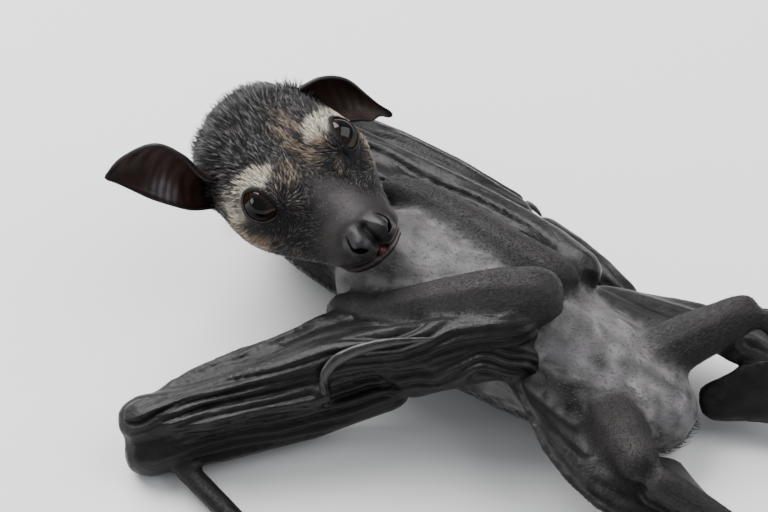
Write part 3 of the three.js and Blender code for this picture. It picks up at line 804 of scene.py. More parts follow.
def calm_wrists(mesh, masks):
    """Rounds the knobs of the wrists, where several solids meet, and the facets of the arms a little."""
    points, edges = get_points(mesh), get_edges(mesh)
    calm = np.zeros(len(points))
    for side, wrist in WRISTS.items():
        near = 1 - smoothstep(10, 20, np.linalg.norm(body_places(points) - np.array(wrist), axis=1))
        own = summed(masks, *(f"{part}_{side}" for part in FOLDED_PARTS))
        calm = np.maximum(calm, np.maximum(near, ARM_CALM) * own)
    places = body_places(points)
    tips = np.minimum(*(np.linalg.norm(places - np.array(place), axis=1) for place, _ in CLAW_SHEATHS))
    sheets = sum(masks[name] for name in masks if "membrane" in name)
    calm = np.maximum(calm * smoothstep(3, 7, tips), 0.8 * np.minimum(sheets, 1))
    set_points(mesh, smoothed(points, edges, CALM_PASSES, calm))


def make_skin(sizes):
    flesh = nodes_as_one(FLESH_NODES + EYE_NODES, sizes.swell)
    close_creases(flesh)
    holder = new_object("skin_holder", flesh)
    remesh = holder.modifiers.new("remesh", "REMESH")
    remesh.mode = "VOXEL"
    remesh.voxel_size = sizes.grain
    mesh = apply_modifiers(holder)
    set_points(mesh, smoothed(get_points(mesh), get_edges(mesh), SKIN_PASSES))
    mesh = thin_out(holder, node_masks(mesh))
    edges = get_edges(mesh)
    points = get_points(mesh)
    masks = node_masks(mesh)
    places = head_places(points)
    depth = coat_depth(masks, places)
    depth = spread(depth, edges, DEPTH_PASSES)
    points = points - get_normals(mesh) * (depth * MM + sizes.swell)[:, None]
    set_points(mesh, points)
    shown = summed(masks, *(f"{part}_right" for part in FOLDED_PARTS))
    shown = shown * (get_normals(mesh) @ np.array(FOLD_FACING) > 0.35)
    near_eyes = np.zeros(len(points), bool)
    for side in SIDES:
        near_eyes |= np.linalg.norm(places - EyeFrame(side).centre, axis=1) < 8.6
    face = ((places[:, 0] > 15.0) | near_eyes) & (places[:, 2] > -15) \
        & (masks["head"] + masks["nose"] + masks["eye_right"] + masks["eye_left"] > 0.5)
    subdivide_where(mesh, face | (shown > 0.5))
    masks = node_masks(mesh)
    calm_wrists(mesh, masks)
    wrinkle_wings(mesh, masks)
    points = get_points(mesh)
    places = head_places(points)
    fine = np.zeros(len(points), bool)
    for side in SIDES:
        eye = EyeFrame(side)
        fine |= np.linalg.norm(places - eye.centre, axis=1) < EYE_RADIUS + 2.6
    at_nose = np.linalg.norm(places - np.array([29, 0, -5.5]), axis=1) < 8
    fine |= (places[:, 0] > 26.5) & (places[:, 2] < -1) & at_nose
    subdivide_where(mesh, fine)
    edges = get_edges(mesh)
    points = get_points(mesh)
    places = head_places(points)
    front = smoothstep(-1, 3, places[:, 0])
    set_points(mesh, smoothed(points, edges, FACE_PASSES, front))
    sculpt_face(mesh)
    lids(mesh)
    points = get_points(mesh)
    points[:, 2] = np.maximum(points[:, 2], 0.00008)
    set_points(mesh, points)
    return holder


# ---------------------------------------------------------------- markings


def blended(base, colour, amount):
    return base * (1 - amount[:, None]) + np.array(colour[:3])[None, :] * amount[:, None]


def around_eye(places, side):
    """Millimetres from the middle of the eyeball, and the bearing: 0 to the nose, 90 to the crown."""
    x, y, distance = EyeFrame(side).angles(places)
    return x, y, distance, np.degrees(np.arctan2(y, x)) % 360


def sector(bearing, low, high, soft=18):
    """1 between two bearings, counted from low round to high, with soft ends."""
    middle_bearing, half = low + ((high - low) % 360) / 2, ((high - low) % 360) / 2
    off = np.abs((bearing - middle_bearing + 180) % 360 - 180)
    return 1 - smoothstep(half - soft, half + soft, off)


def face_marks(places):
    """Where the pale brows, the buff streaks, the bare ring and the bare muzzle lie on the head."""
    brow = np.zeros(len(places))
    buff, ring, lid = brow.copy(), brow.copy(), brow.copy()
    for side in SIDES:
        x, y, distance, bearing = around_eye(places, side)
        value = opening_value(x, y)
        rim = smoothstep(1.30, 1.80, value)
        above = sector(bearing, 96, 200, 20) * rim * (1 - smoothstep(5.5, 6.7, distance))
        behind = sector(bearing, 192, 246, 20) * rim * (1 - smoothstep(6.6, 9.2, distance))
        below = sector(bearing, 228, 325, 14) * smoothstep(1.9, 2.6, value) \
            * (1 - smoothstep(8.0, 11.0, distance))
        inner = sector(bearing, 325, 28, 14) * smoothstep(2.0, 2.8, value) \
            * (1 - smoothstep(7.0, 9.0, distance))
        over = sector(bearing, 50, 95, 20) * smoothstep(1.9, 2.6, value) \
            * (1 - smoothstep(7.0, 10.0, distance))
        brow = np.maximum(brow, np.maximum(above, 0.7 * behind))
        buff = np.maximum(buff, np.maximum(np.maximum(below, 0.5 * inner), 0.5 * over))
        ring = np.maximum(ring, (1 - smoothstep(1.22, 1.55, value)) * (distance < 9))
        lid = np.maximum(lid, (1 - smoothstep(1.05, 1.40, value)) * (distance < 7))
    forward, left, up = places.T
    between = patch(places, (9.0, 3.0, 9.0), (8.0, 3.0, 4.5), 0.6)
    buff = np.maximum(buff, 0.45 * between)
    muzzle = smoothstep(14.0, 21.5, forward - 0.60 * np.abs(left) + 0.45 * up)
    return brow * (1 - ring), buff * (1 - ring), ring, lid, muzzle


def muzzle_tone(places, colours):
    """The bare skin of the muzzle: mauve-grey along its top, partly its own tone and partly a painted
    highlight, dark at the sides and on the jaw.
    """
    top = patch(places, (18.5, 1.6, 2.2), (8.0, 4.6, 4.0), 0.75)
    count = len(places)
    return blended(np.tile(np.array(colours.muzzle[:3]), (count, 1)), colours.muzzle_top, top)


def coat_colours(points, places, colours):
    """Root and tip colours of the head's hairs, and the share of hairs that are pale-tipped."""
    brow, buff, _, _, muzzle = face_marks(places)
    clumps = roughness_field(points, 2.4, 52, 2)
    streaks = smoothstep(-0.30, 0.30, clumps + 0.6 * roughness_field(points, 0.9, 60, 2))
    crown = smoothstep(10, -2, places[:, 0]) * smoothstep(-8, 2, places[:, 2])
    nape = smoothstep(-6, -15, places[:, 0])
    cheek = smoothstep(2, -7, places[:, 2]) * smoothstep(12, 2, places[:, 0])
    count = len(points)
    root = np.tile(np.array(colours.fur_dark[:3]), (count, 1))
    tip = np.tile(np.array(colours.fur_tip[:3]), (count, 1))
    brindle = 0.5 * smoothstep(0.1, 0.7, roughness_field(points, 8.0, 64, 2)) * (1 - crown)
    tip = blended(tip, colours.buff, brindle)
    frost = 0.22 + 0.08 * crown + 0.10 * nape + 0.10 * cheek + 0.14 * clumps
    streaked = buff * streaks
    root = blended(root, np.array(colours.buff[:3]) * 0.55, 0.85 * streaked)
    tip = blended(tip, colours.buff, 0.8 * buff)
    frost = frost + 0.62 * streaked
    pale = np.clip(brow * (0.55 + 0.75 * streaks), 0, 1)
    root = blended(root, np.array(colours.brow[:3]) * 0.62, pale)
    tip = blended(tip, colours.brow, np.clip(brow * 1.3, 0, 1))
    frost = frost + 0.9 * pale
    bare = muzzle * (1 - np.clip(brow + 0.8 * buff, 0, 1))
    skin = muzzle_tone(places, colours)
    # on the bare muzzle the hairs take the skin's colour, their tips lighter as painted light against their
    # own shadow
    root = root * (1 - bare[:, None]) + 1.0 * skin * bare[:, None]
    tip = tip * (1 - bare[:, None]) + 1.5 * skin * bare[:, None]
    return root, tip, np.clip(frost, 0, 1)


def paint_skin(mesh, masks, colours):
    points = get_points(mesh)
    head_p = head_places(points)
    count = len(points)
    mottle = roughness_field(points, 4.0, 3)
    speck = roughness_field(points, 0.9, 7, 2)
    skin = np.tile(np.array(colours.wing[:3]), (count, 1))
    # lighter wing skin in random patches
    skin = blended(skin, colours.wing_light, 0.5 * smoothstep(-0.1, 0.9, mottle))
    crease_shade = np.empty(count, np.float32)
    mesh.attributes["fold_crease_shade"].data.foreach_get("value", crease_shade)
    # the flank and rear membranes are lighter
    skin = blended(skin, colours.wing_light, 0.7 * summed(masks, "rear_membrane", "flank_membrane"))
    # painted shade: the skin is darkened in the creases between the wing folds
    skin = skin * (1 - 0.75 * crease_shade)[:, None]
    mesh.attributes.remove(mesh.attributes["fold_crease_shade"])
    arm = summed(masks, "upper_arm", "thigh", "shank", "neck")
    skin = blended(skin, colours.arm, arm)
    chest = summed(masks, "trunk")
    blotch = smoothstep(-0.35, 0.45, roughness_field(points, 1.6, 15, 3))
    chest_shade = 0.42 + 0.62 * blotch + 0.25 * mottle + 0.2 * speck
    chest_tone = np.array(colours.chest[:3])[None, :] * chest_shade[:, None]
    skin = skin * (1 - chest[:, None]) + chest_tone * chest[:, None]
    head = np.clip(masks["head"] + masks["nose"] + masks["eye_right"] + masks["eye_left"], 0, 1)
    _, _, ring, lid, muzzle = face_marks(head_p)
    under, over, frost = coat_colours(points, head_p, colours)
    under = 0.55 * under + 0.12 * over * frost[:, None]
    skin = skin * (1 - head[:, None]) + under * head[:, None]
    bare = muzzle * head
    muzzle_skin = muzzle_tone(head_p, colours) * (1 + 0.25 * mottle + 0.15 * speck)[:, None]
    skin = skin * (1 - bare[:, None]) + muzzle_skin * bare[:, None]
    jaw = head * smoothstep(-7.2, -9.6, head_p[:, 2]) * smoothstep(8, 16, head_p[:, 0])
    skin = blended(skin, colours.wing, jaw)
    skin = blended(skin, colours.ring, ring * head)
    skin = blended(skin, colours.lid, lid * head)
    for side in SIDES:
        x, y, distance, bearing = around_eye(head_p, side)
        edge = (1 - smoothstep(1.02, 1.16, opening_value(x, y))) * sector(bearing, 190, 350, 20) \
            * (distance < 5.6) * (distance > EYE_RADIUS)
        skin = blended(skin, colours.lid_edge, 0.6 * edge)
    nose = np.zeros(count)
    for sign in (-1, 1):
        wide, high, out = nostril_fields(head_p, sign)
        near = 1 - smoothstep(2.4, 4.4, np.hypot(wide * 0.9, (high - 1.0) * 0.9))
        nose = np.maximum(nose, near * smoothstep(-3.5, -1.5, out))
    skin = blended(skin, colours.nose, 0.85 * nose)
    above, _, gape = mouth_line(head_p)
    # the lips' own pink, laid on more strongly towards the animal's left side, where it is a painted
    # highlight
    lip_edge_and_glint = np.exp(-(((np.abs(above) - 0.75 - 0.5 * gape) / 0.32) ** 2))
    edge = lip_edge_and_glint * smoothstep(28.5, 30.5, head_p[:, 0]) * head
    skin = blended(skin, colours.lip, edge * (0.25 + 0.55 * smoothstep(0.8, 2.2, head_p[:, 1])))
    inside = np.exp(-((above / 0.9) ** 2)) * gape * head
    # painted shade: the inside of the parted mouth is the tongue's red, darkened
    skin = blended(skin, np.array(colours.tongue[:3]) * 0.35, 0.8 * inside)
    hollow = np.empty(count, np.float32)
    mesh.attributes["hollow"].data.foreach_get("value", hollow)
    # painted shade: darkens the lip line, the nostril pits, the groove between the nostrils and the space
    # under the nose, less inside the mouth
    skin = blended(skin, (0.0018, 0.0012, 0.0012), hollow * (1 - 0.7 * inside))
    gloss = 0.44 + 0.20 * head + 0.18 * arm + 0.20 * chest - 0.20 * nose \
        - 0.08 * bare + 0.06 * mottle + 0.3 * hollow
    gloss = gloss + 0.16 * np.maximum(ring, lid) * head
    put_attribute(mesh, "markings", "FLOAT_COLOR", np.clip(skin, 0, 1))
    put_attribute(mesh, "dullness", "FLOAT", np.clip(gloss, 0.2, 0.9))
    put_attribute(mesh, "leather", "FLOAT", np.clip(1 - 0.8 * head - 0.4 * arm, 0, 1))
    mesh.attributes.remove(mesh.attributes["hollow"])


EAR_SHEEN_SIDE = 0.20     # across the ear, 0 to 1
EAR_GLOW_SIDE = 0.35


def paint_ear(mesh, side, colours):
    share = np.empty(len(mesh.vertices), np.float32)
    rim = share.copy()
    inner = share.copy()
    across = share.copy()
    mesh.attributes["ear_share"].data.foreach_get("value", share)
    mesh.attributes["ear_rim"].data.foreach_get("value", rim)
    mesh.attributes["ear_inner"].data.foreach_get("value", inner)
    mesh.attributes["ear_side"].data.foreach_get("value", across)
    points = get_points(mesh)
    mottle = roughness_field(points, 3.0, 11)
    skin = np.tile(np.array(colours.ear[:3]), (len(points), 1)) * (1 + 0.3 * mottle)[:, None]
    if side == "right":
        # painted glow of light inside the right ear, warmer in the middle of its hollow
        glow = inner * np.exp(-(((share - 0.38) / 0.2) ** 2) - ((across - EAR_GLOW_SIDE) / 0.22) ** 2)
        skin = blended(skin, colours.ear_glow, 0.6 * glow)
        sheen = inner * np.exp(-(((share - 0.50) / 0.10) ** 2) - ((across - EAR_SHEEN_SIDE) / 0.16) ** 2)
        lines = 0.55 + 0.45 * np.sin(2 * math.pi * (share * 15 + 1.2 * across))
        skin = blended(skin, colours.ear_sheen, np.clip(1.1 * sheen, 0, 0.85) * lines)
    skin = blended(skin, colours.wing, 0.9 * np.exp(-((rim / 0.06) ** 2)))
    put_attribute(mesh, "markings", "FLOAT_COLOR", np.clip(skin, 0, 1))
    put_attribute(mesh, "dullness", "FLOAT", np.full(len(points), 0.5))
    put_attribute(mesh, "leather", "FLOAT", np.full(len(points), 0.2))
    put_attribute(mesh, "fold_place", "FLOAT_VECTOR", np.zeros((len(points), 3)))
    put_attribute(mesh, "fold_amount", "FLOAT", np.zeros(len(points)))
    for name in ("ear_share", "ear_rim", "ear_inner", "ear_side"):
        mesh.attributes.remove(mesh.attributes[name])


# ---------------------------------------------------------------- materials


def fresh_material(name):
    material = bpy.data.materials.new(name)
    material.use_nodes = True
    nodes, links = material.node_tree.nodes, material.node_tree.links
    shader = nodes["Principled BSDF"]
    return material, nodes, links, shader


def skin_material():
    """Markings from the mesh; pores, leather grain and the fine folds of the wings as bumps."""
    material, nodes, links, shader = fresh_material("flying_fox_skin")

    def given(attribute, output="Fac"):
        node = nodes.new("ShaderNodeAttribute")
        node.attribute_name = attribute
        return node.outputs[output]

    def texture(kind, scale, vector, output, **settings):
        node = nodes.new(kind)
        node.inputs["Scale"].default_value = scale
        for name, value in settings.items():
            node.inputs[name].default_value = value
        links.new(vector, node.inputs["Vector"])
        return node.outputs[output]

    def maths(operation, *values):
        node = nodes.new("ShaderNodeMath")
        node.operation = operation
        for socket, value in zip(node.inputs, values):
            if isinstance(value, (int, float)):
                socket.default_value = value
            else:
                links.new(value, socket)
        return node.outputs["Value"]

    def ranged(value, low, high, to_low, to_high):
        node = nodes.new("ShaderNodeMapRange")
        links.new(value, node.inputs["Value"])
        for socket, number in zip(("From Min", "From Max", "To Min", "To Max"), (low, high, to_low, to_high)):
            node.inputs[socket].default_value = number
        return node.outputs["Result"]

    place = nodes.new("ShaderNodeTexCoord").outputs["Object"]
    fold = given("fold_place", "Vector")
    pores = texture("ShaderNodeTexVoronoi", 1500, place, "Distance")
    fine = texture("ShaderNodeTexNoise", 900, place, "Fac", Detail=5)
    broad = texture("ShaderNodeTexNoise", 260, place, "Fac", Detail=4)
    lines = texture("ShaderNodeTexNoise", 2.6, fold, "Fac", Detail=3)
    lines = ranged(maths("ABSOLUTE", maths("SUBTRACT", lines, 0.5)), 0.0, 0.12, 0.0, 1.0)
    folds = maths("MULTIPLY", lines, given("fold_amount"))

    tint = nodes.new("ShaderNodeVectorMath")
    tint.operation = "SCALE"
    links.new(given("markings", "Color"), tint.inputs[0])
    links.new(ranged(broad, 0.3, 0.75, 0.72, 1.3), tint.inputs["Scale"])
    links.new(tint.outputs["Vector"], shader.inputs["Base Color"])
    rough = maths("ADD", given("dullness"), maths("MULTIPLY", maths("SUBTRACT", fine, 0.5), 0.3))
    links.new(rough, shader.inputs["Roughness"])

    grain = nodes.new("ShaderNodeBump")
    grain.inputs["Strength"].default_value = 0.5
    grain.inputs["Distance"].default_value = 0.00009
    links.new(maths("ADD", maths("MULTIPLY", pores, given("leather")), fine), grain.inputs["Height"])
    bump = nodes.new("ShaderNodeBump")
    bump.inputs["Strength"].default_value = 0.22
    bump.inputs["Distance"].default_value = 0.00012
    links.new(folds, bump.inputs["Height"])
    links.new(grain.outputs["Normal"], bump.inputs["Normal"])
    links.new(bump.outputs["Normal"], shader.inputs["Normal"])
    shader.inputs["Specular IOR Level"].default_value = 0.22
    return material


def hair_material(name):
    """Dark at the root; on some hairs it turns to the tip's colour, as their tone and the frost say."""
    material, nodes, links, shader = fresh_material(name)

    def given(attribute, output="Fac"):
        node = nodes.new("ShaderNodeAttribute")
        node.attribute_name = attribute
        return node.outputs[output]

    def maths(operation, *values):
        node = nodes.new("ShaderNodeMath")
        node.operation = operation
        for socket, value in zip(node.inputs, values):
            if isinstance(value, (int, float)):
                socket.default_value = value
            else:
                links.new(value, socket)
        return node.outputs["Value"]

    tone = given("hair_tone")
    chosen = nodes.new("ShaderNodeMapRange")
    chosen.interpolation_type = "SMOOTHSTEP"
    links.new(maths("ADD", tone, given("coat_frost")), chosen.inputs["Value"])
    chosen.inputs["From Min"].default_value = 0.85
    chosen.inputs["From Max"].default_value = 1.15
    ramp = nodes.new("ShaderNodeMapRange")
    ramp.interpolation_type = "SMOOTHSTEP"
    ramp.inputs["From Min"].default_value = 0.15
    ramp.inputs["From Max"].default_value = 0.75
    links.new(given("hair_along"), ramp.inputs["Value"])
    mix = nodes.new("ShaderNodeMix")
    mix.data_type = "RGBA"
    links.new(maths("MULTIPLY", chosen.outputs["Result"], ramp.outputs["Result"]), mix.inputs["Factor"])
    first, second = [s for s in mix.inputs if s.type == "RGBA"]
    links.new(given("coat_root", "Color"), first)
    links.new(given("coat_tip", "Color"), second)
    vary = nodes.new("ShaderNodeMapRange")
    links.new(maths("FRACT", maths("MULTIPLY", tone, 17.3)), vary.inputs["Value"])
    vary.inputs["To Min"].default_value = 0.6
    vary.inputs["To Max"].default_value = 1.35
    tint = nodes.new("ShaderNodeVectorMath")
    tint.operation = "SCALE"
    links.new([s for s in mix.outputs if s.type == "RGBA"][0], tint.inputs[0])
    links.new(vary.outputs["Result"], tint.inputs["Scale"])
    links.new(tint.outputs["Vector"], shader.inputs["Base Color"])
    shader.inputs["Roughness"].default_value = 0.55
    shader.inputs["Specular IOR Level"].default_value = 0.3
    return material


def eye_material():
    material, nodes, links, shader = fresh_material("flying_fox_eye")
    colour = nodes.new("ShaderNodeAttribute")
    colour.attribute_name = "markings"
    links.new(colour.outputs["Color"], shader.inputs["Base Color"])
    shader.inputs["Roughness"].default_value = 0.35
    shader.inputs["Specular IOR Level"].default_value = 0.0
    wet = nodes.new("ShaderNodeAttribute")
    wet.attribute_name = "wetness"
    links.new(wet.outputs["Fac"], shader.inputs["Coat Weight"])
    shader.inputs["Coat Roughness"].default_value = 0.02
    shader.inputs["Coat IOR"].default_value = 1.45
    return material


def horn_material():
    material, nodes, links, shader = fresh_material("flying_fox_claw")
    place = nodes.new("ShaderNodeTexCoord")
    streak = nodes.new("ShaderNodeTexNoise")
    streak.inputs["Scale"].default_value = 420
    streak.inputs["Detail"].default_value = 4
    links.new(place.outputs["Object"], streak.inputs["Vector"])
    ramp = nodes.new("ShaderNodeValToRGB")
    ramp.color_ramp.elements[0].position = 0.3
    ramp.color_ramp.elements[0].color = (0.008, 0.008, 0.009, 1)
    ramp.color_ramp.elements[1].position = 0.75
    ramp.color_ramp.elements[1].color = (0.040, 0.038, 0.038, 1)
    links.new(streak.outputs["Fac"], ramp.inputs["Fac"])
    links.new(ramp.outputs["Color"], shader.inputs["Base Color"])
    shader.inputs["Roughness"].default_value = 0.34
    shader.inputs["Specular IOR Level"].default_value = 0.4
    return material


def tongue_material(colour):
    material, nodes, links, shader = fresh_material("flying_fox_tongue")
    place = nodes.new("ShaderNodeTexCoord")
    bumps = nodes.new("ShaderNodeTexVoronoi")
    bumps.inputs["Scale"].default_value = 2600
    links.new(place.outputs["Object"], bumps.inputs["Vector"])
    ramp = nodes.new("ShaderNodeValToRGB")
    ramp.color_ramp.elements[0].color = tuple(c * 0.6 for c in colour[:3]) + (1,)
    ramp.color_ramp.elements[1].color = tuple(colour[:3]) + (1,)
    links.new(bumps.outputs["Distance"], ramp.inputs["Fac"])
    links.new(ramp.outputs["Color"], shader.inputs["Base Color"])
    bump = nodes.new("ShaderNodeBump")
    bump.inputs["Strength"].default_value = 0.4
    bump.inputs["Distance"].default_value = 0.0001
    links.new(bumps.outputs["Distance"], bump.inputs["Height"])
    links.new(bump.outputs["Normal"], shader.inputs["Normal"])
    shader.inputs["Roughness"].default_value = 0.5
    shader.inputs["Specular IOR Level"].default_value = 0.25
    return material


# ---------------------------------------------------------------- the coat


def tuft_mesh(name, hairs, bend, splay, seed, shares=(0.0, 0.5, 1.0)):
    """A few tapered hairs of unit length from one root: they start along +Z and lean to +X."""
    random = np.random.default_rng(seed)
    points, faces, along, uvs = [], [], [], []
    for hair in range(hairs):
        angle = (hair - (hairs - 1) / 2) * splay + random.uniform(-0.3, 0.3) * splay
        reach = random.uniform(0.78, 1.0)
        start = Vector((random.uniform(-0.03, 0.03), random.uniform(-0.5, 0.5), 0.0))
        first = len(points)
        for share in shares:
            lean = bend * (share ** 0.8)
            x = reach * (share * math.sin(lean * 0.75) if share else 0.0)
            z = reach * share * math.cos(lean * 0.75)
            centre = Vector((x, 0, z))
            width = 0.5 * (1 - share ** 1.6)
            offset_y = start.y + math.sin(angle) * share * 6.0
            if share == 1.0:
                points.append((start.x + centre.x, offset_y, centre.z))
                along.append(1.0)
                uvs.append((0.5, 1.0))
                continue
            thick = 0.018 * (1 - share ** 1.6)
            points.append((start.x + centre.x, offset_y - width, centre.z))
            points.append((start.x + centre.x, offset_y + width, centre.z))
            points.append((start.x + centre.x - thick, offset_y, centre.z + thick))
            along.extend([share] * 3)
            uvs.extend([(0.1, share), (0.9, share), (0.5, share)])
        rings = len(shares) - 1
        for ring in range(rings - 1):
            a = first + ring * 3
            for k in range(3):
                m = (k + 1) % 3
                faces.append((a + k, a + m, a + 3 + m, a + 3 + k))
        a = first + (rings - 1) * 3
        tip = first + rings * 3
        for k in range(3):
            faces.append((a + k, a + (k + 1) % 3, tip))
    mesh = mesh_from(name, points, faces)
    shape = bmesh.new()
    shape.from_mesh(mesh)
    bmesh.ops.recalc_face_normals(shape, faces=shape.faces)
    shape.to_mesh(mesh)
    shape.free()
    put_attribute(mesh, "hair_along", "FLOAT", np.array(along))
    layer = mesh.uv_layers.new(name="OFBake")
    for loop in mesh.loops:
        layer.data[loop.index].uv = uvs[loop.vertex_index]
    set_smooth(mesh)
    return mesh


PATCH = 0.003


def coat_tree():
    """Geometry Nodes: tufts scattered over the skin, each turned along the lie of the coat."""
    tree = bpy.data.node_groups.new("coat", "GeometryNodeTree")
    face = tree.interface
    face.new_socket(name="Skin", in_out="INPUT", socket_type="NodeSocketGeometry")
    face.new_socket(name="Tuft", in_out="INPUT", socket_type="NodeSocketObject")
    face.new_socket(name="Tufts per square metre", in_out="INPUT", socket_type="NodeSocketFloat")
    face.new_socket(name="Hair width", in_out="INPUT", socket_type="NodeSocketFloat")
    face.new_socket(name="Sway", in_out="INPUT", socket_type="NodeSocketFloat")
    face.new_socket(name="Seed", in_out="INPUT", socket_type="NodeSocketInt")
    face.new_socket(name="Material", in_out="INPUT", socket_type="NodeSocketMaterial")
    face.new_socket(name="Coat", in_out="OUTPUT", socket_type="NodeSocketGeometry")
    nodes, links = tree.nodes, tree.links
    given = nodes.new("NodeGroupInput")
    result = nodes.new("NodeGroupOutput")

    def named(name, kind="FLOAT"):
        node = nodes.new("GeometryNodeInputNamedAttribute")
        node.data_type = kind
        node.inputs["Name"].default_value = name
        return node.outputs["Attribute"]

    def maths(operation, a, b):
        node = nodes.new("ShaderNodeMath")
        node.operation = operation
        for socket, value in zip(node.inputs, (a, b)):
            if isinstance(value, (int, float)):
                socket.default_value = value
            else:
                links.new(value, socket)
        return node.outputs["Value"]

    def random_number(low, high, offset):
        node = nodes.new("FunctionNodeRandomValue")
        node.data_type = "FLOAT"
        floats = [s for s in node.inputs if s.type == "VALUE"]
        floats[0].default_value, floats[1].default_value = low, high
        seed = nodes.new("ShaderNodeMath")
        seed.operation = "ADD"
        seed.inputs[1].default_value = offset
        links.new(given.outputs["Seed"], seed.inputs[0])
        links.new(seed.outputs["Value"], node.inputs["Seed"])
        return [s for s in node.outputs if s.type == "VALUE"][0]

    scatter = nodes.new("GeometryNodeDistributePointsOnFaces")
    scatter.distribute_method = "RANDOM"
    links.new(given.outputs["Skin"], scatter.inputs["Mesh"])
    density = maths("MULTIPLY", named("coat_density"), given.outputs["Tufts per square metre"])
    links.new(density, scatter.inputs["Density"])
    links.new(given.outputs["Seed"], scatter.inputs["Seed"])

    tone = nodes.new("GeometryNodeStoreNamedAttribute")
    tone.data_type, tone.domain = "FLOAT", "POINT"
    tone.inputs["Name"].default_value = "hair_tone"
    links.new(scatter.outputs["Points"], tone.inputs["Geometry"])
    links.new(random_number(0.0, 1.0, 5), tone.inputs["Value"])

    jitter = nodes.new("ShaderNodeCombineXYZ")
    for index, axis in enumerate("XYZ"):
        swayed = maths("MULTIPLY", random_number(-1.0, 1.0, 11 + index), given.outputs["Sway"])
        links.new(swayed, jitter.inputs[axis])
    lie = nodes.new("ShaderNodeVectorMath")
    lie.operation = "ADD"
    links.new(named("coat_lie", "FLOAT_VECTOR"), lie.inputs[0])
    links.new(jitter.outputs["Vector"], lie.inputs[1])
    turn = nodes.new("FunctionNodeAxesToRotation")
    turn.primary_axis, turn.secondary_axis = "Z", "X"
    links.new(scatter.outputs["Normal"], turn.inputs["Primary Axis"])
    links.new(lie.outputs["Vector"], turn.inputs["Secondary Axis"])

    length = maths("MULTIPLY", named("coat_length"), random_number(0.65, 1.25, 23))
    height = maths("MULTIPLY", length, named("coat_lift"))
    size = nodes.new("ShaderNodeCombineXYZ")
    links.new(length, size.inputs["X"])
    slim = nodes.new("ShaderNodeMapRange")
    links.new(length, slim.inputs["Value"])
    for socket, value in (("From Min", 0.0006), ("From Max", 0.0028), ("To Min", 0.55), ("To Max", 1.1)):
        slim.inputs[socket].default_value = value
    links.new(maths("MULTIPLY", given.outputs["Hair width"], slim.outputs["Result"]), size.inputs["Y"])
    links.new(height, size.inputs["Z"])

    tuft = nodes.new("GeometryNodeObjectInfo")
    links.new(given.outputs["Tuft"], tuft.inputs["Object"])
    plant = nodes.new("GeometryNodeInstanceOnPoints")
    links.new(tone.outputs["Geometry"], plant.inputs["Points"])
    links.new(tuft.outputs["Geometry"], plant.inputs["Instance"])
    links.new(turn.outputs["Rotation"], plant.inputs["Rotation"])
    links.new(size.outputs["Vector"], plant.inputs["Scale"])
    real = nodes.new("GeometryNodeRealizeInstances")
    links.new(plant.outputs["Instances"], real.inputs["Geometry"])

    scaled = nodes.new("ShaderNodeVectorMath")
    scaled.operation = "SCALE"
    scaled.inputs["Scale"].default_value = PATCH
    links.new(named("OFBake", "FLOAT_VECTOR"), scaled.inputs[0])
    spot = nodes.new("ShaderNodeVectorMath")
    spot.operation = "ADD"
    links.new(named("coat_map", "FLOAT_VECTOR"), spot.inputs[0])
    links.new(scaled.outputs["Vector"], spot.inputs[1])
    unwrap = nodes.new("GeometryNodeStoreNamedAttribute")
    unwrap.data_type, unwrap.domain = "FLOAT2", "CORNER"
    unwrap.inputs["Name"].default_value = "OFBake"
    links.new(real.outputs["Geometry"], unwrap.inputs["Geometry"])
    links.new(spot.outputs["Vector"], unwrap.inputs["Value"])

    dress = nodes.new("GeometryNodeSetMaterial")
    links.new(unwrap.outputs["Geometry"], dress.inputs["Geometry"])
    links.new(given.outputs["Material"], dress.inputs["Material"])
    links.new(dress.outputs["Geometry"], result.inputs["Coat"])
    return tree


def set_inputs(modifier, values):
    for item in modifier.node_group.interface.items_tree:
        if item.item_type == "SOCKET" and item.in_out == "INPUT" and item.name in values:
            modifier[item.identifier] = values[item.name]


def grow_coat(name, ground, values):
    piece = new_object(name, ground.copy())
    modifier = piece.modifiers.new("coat", "NODES")
    modifier.node_group = bpy.data.node_groups["coat"]
    set_inputs(modifier, values)
    mesh = apply_modifiers(piece)
    keep = {"coat_root", "coat_tip", "coat_frost", "hair_along", "hair_tone", "OFBake"}
    spare = [a.name for a in mesh.attributes if a.name not in keep and not (a.is_internal or a.is_required)]
    for attribute in spare:
        mesh.attributes.remove(mesh.attributes[attribute])
    mesh.materials.clear()
    mesh.materials.append(values["Material"])
    set_smooth(mesh)
    return piece


def along_skin(direction, normals):
    flat = direction - normals * np.sum(direction * normals, axis=1)[:, None]
    return flat / np.maximum(np.linalg.norm(flat, axis=1), 1e-6)[:, None]


def off_the_floor(fields, points, normals):
    """Shortens the hairs whose tips would reach the floor, and drops those with no room at all."""
    reach = 1.25 * (0.95 * fields["coat_lie"][:, 2] + 0.4 * fields["coat_lift"] * normals[:, 2]) - 0.1
    room = np.maximum(points[:, 2] - 0.1 * MM, 0) / np.maximum(-reach, 1e-3)
    fields["coat_length"] = np.minimum(fields["coat_length"], np.maximum(room, 0.3 * MM))
    fields["coat_density"] = fields["coat_density"] * (room > 0.3 * MM)
    return fields


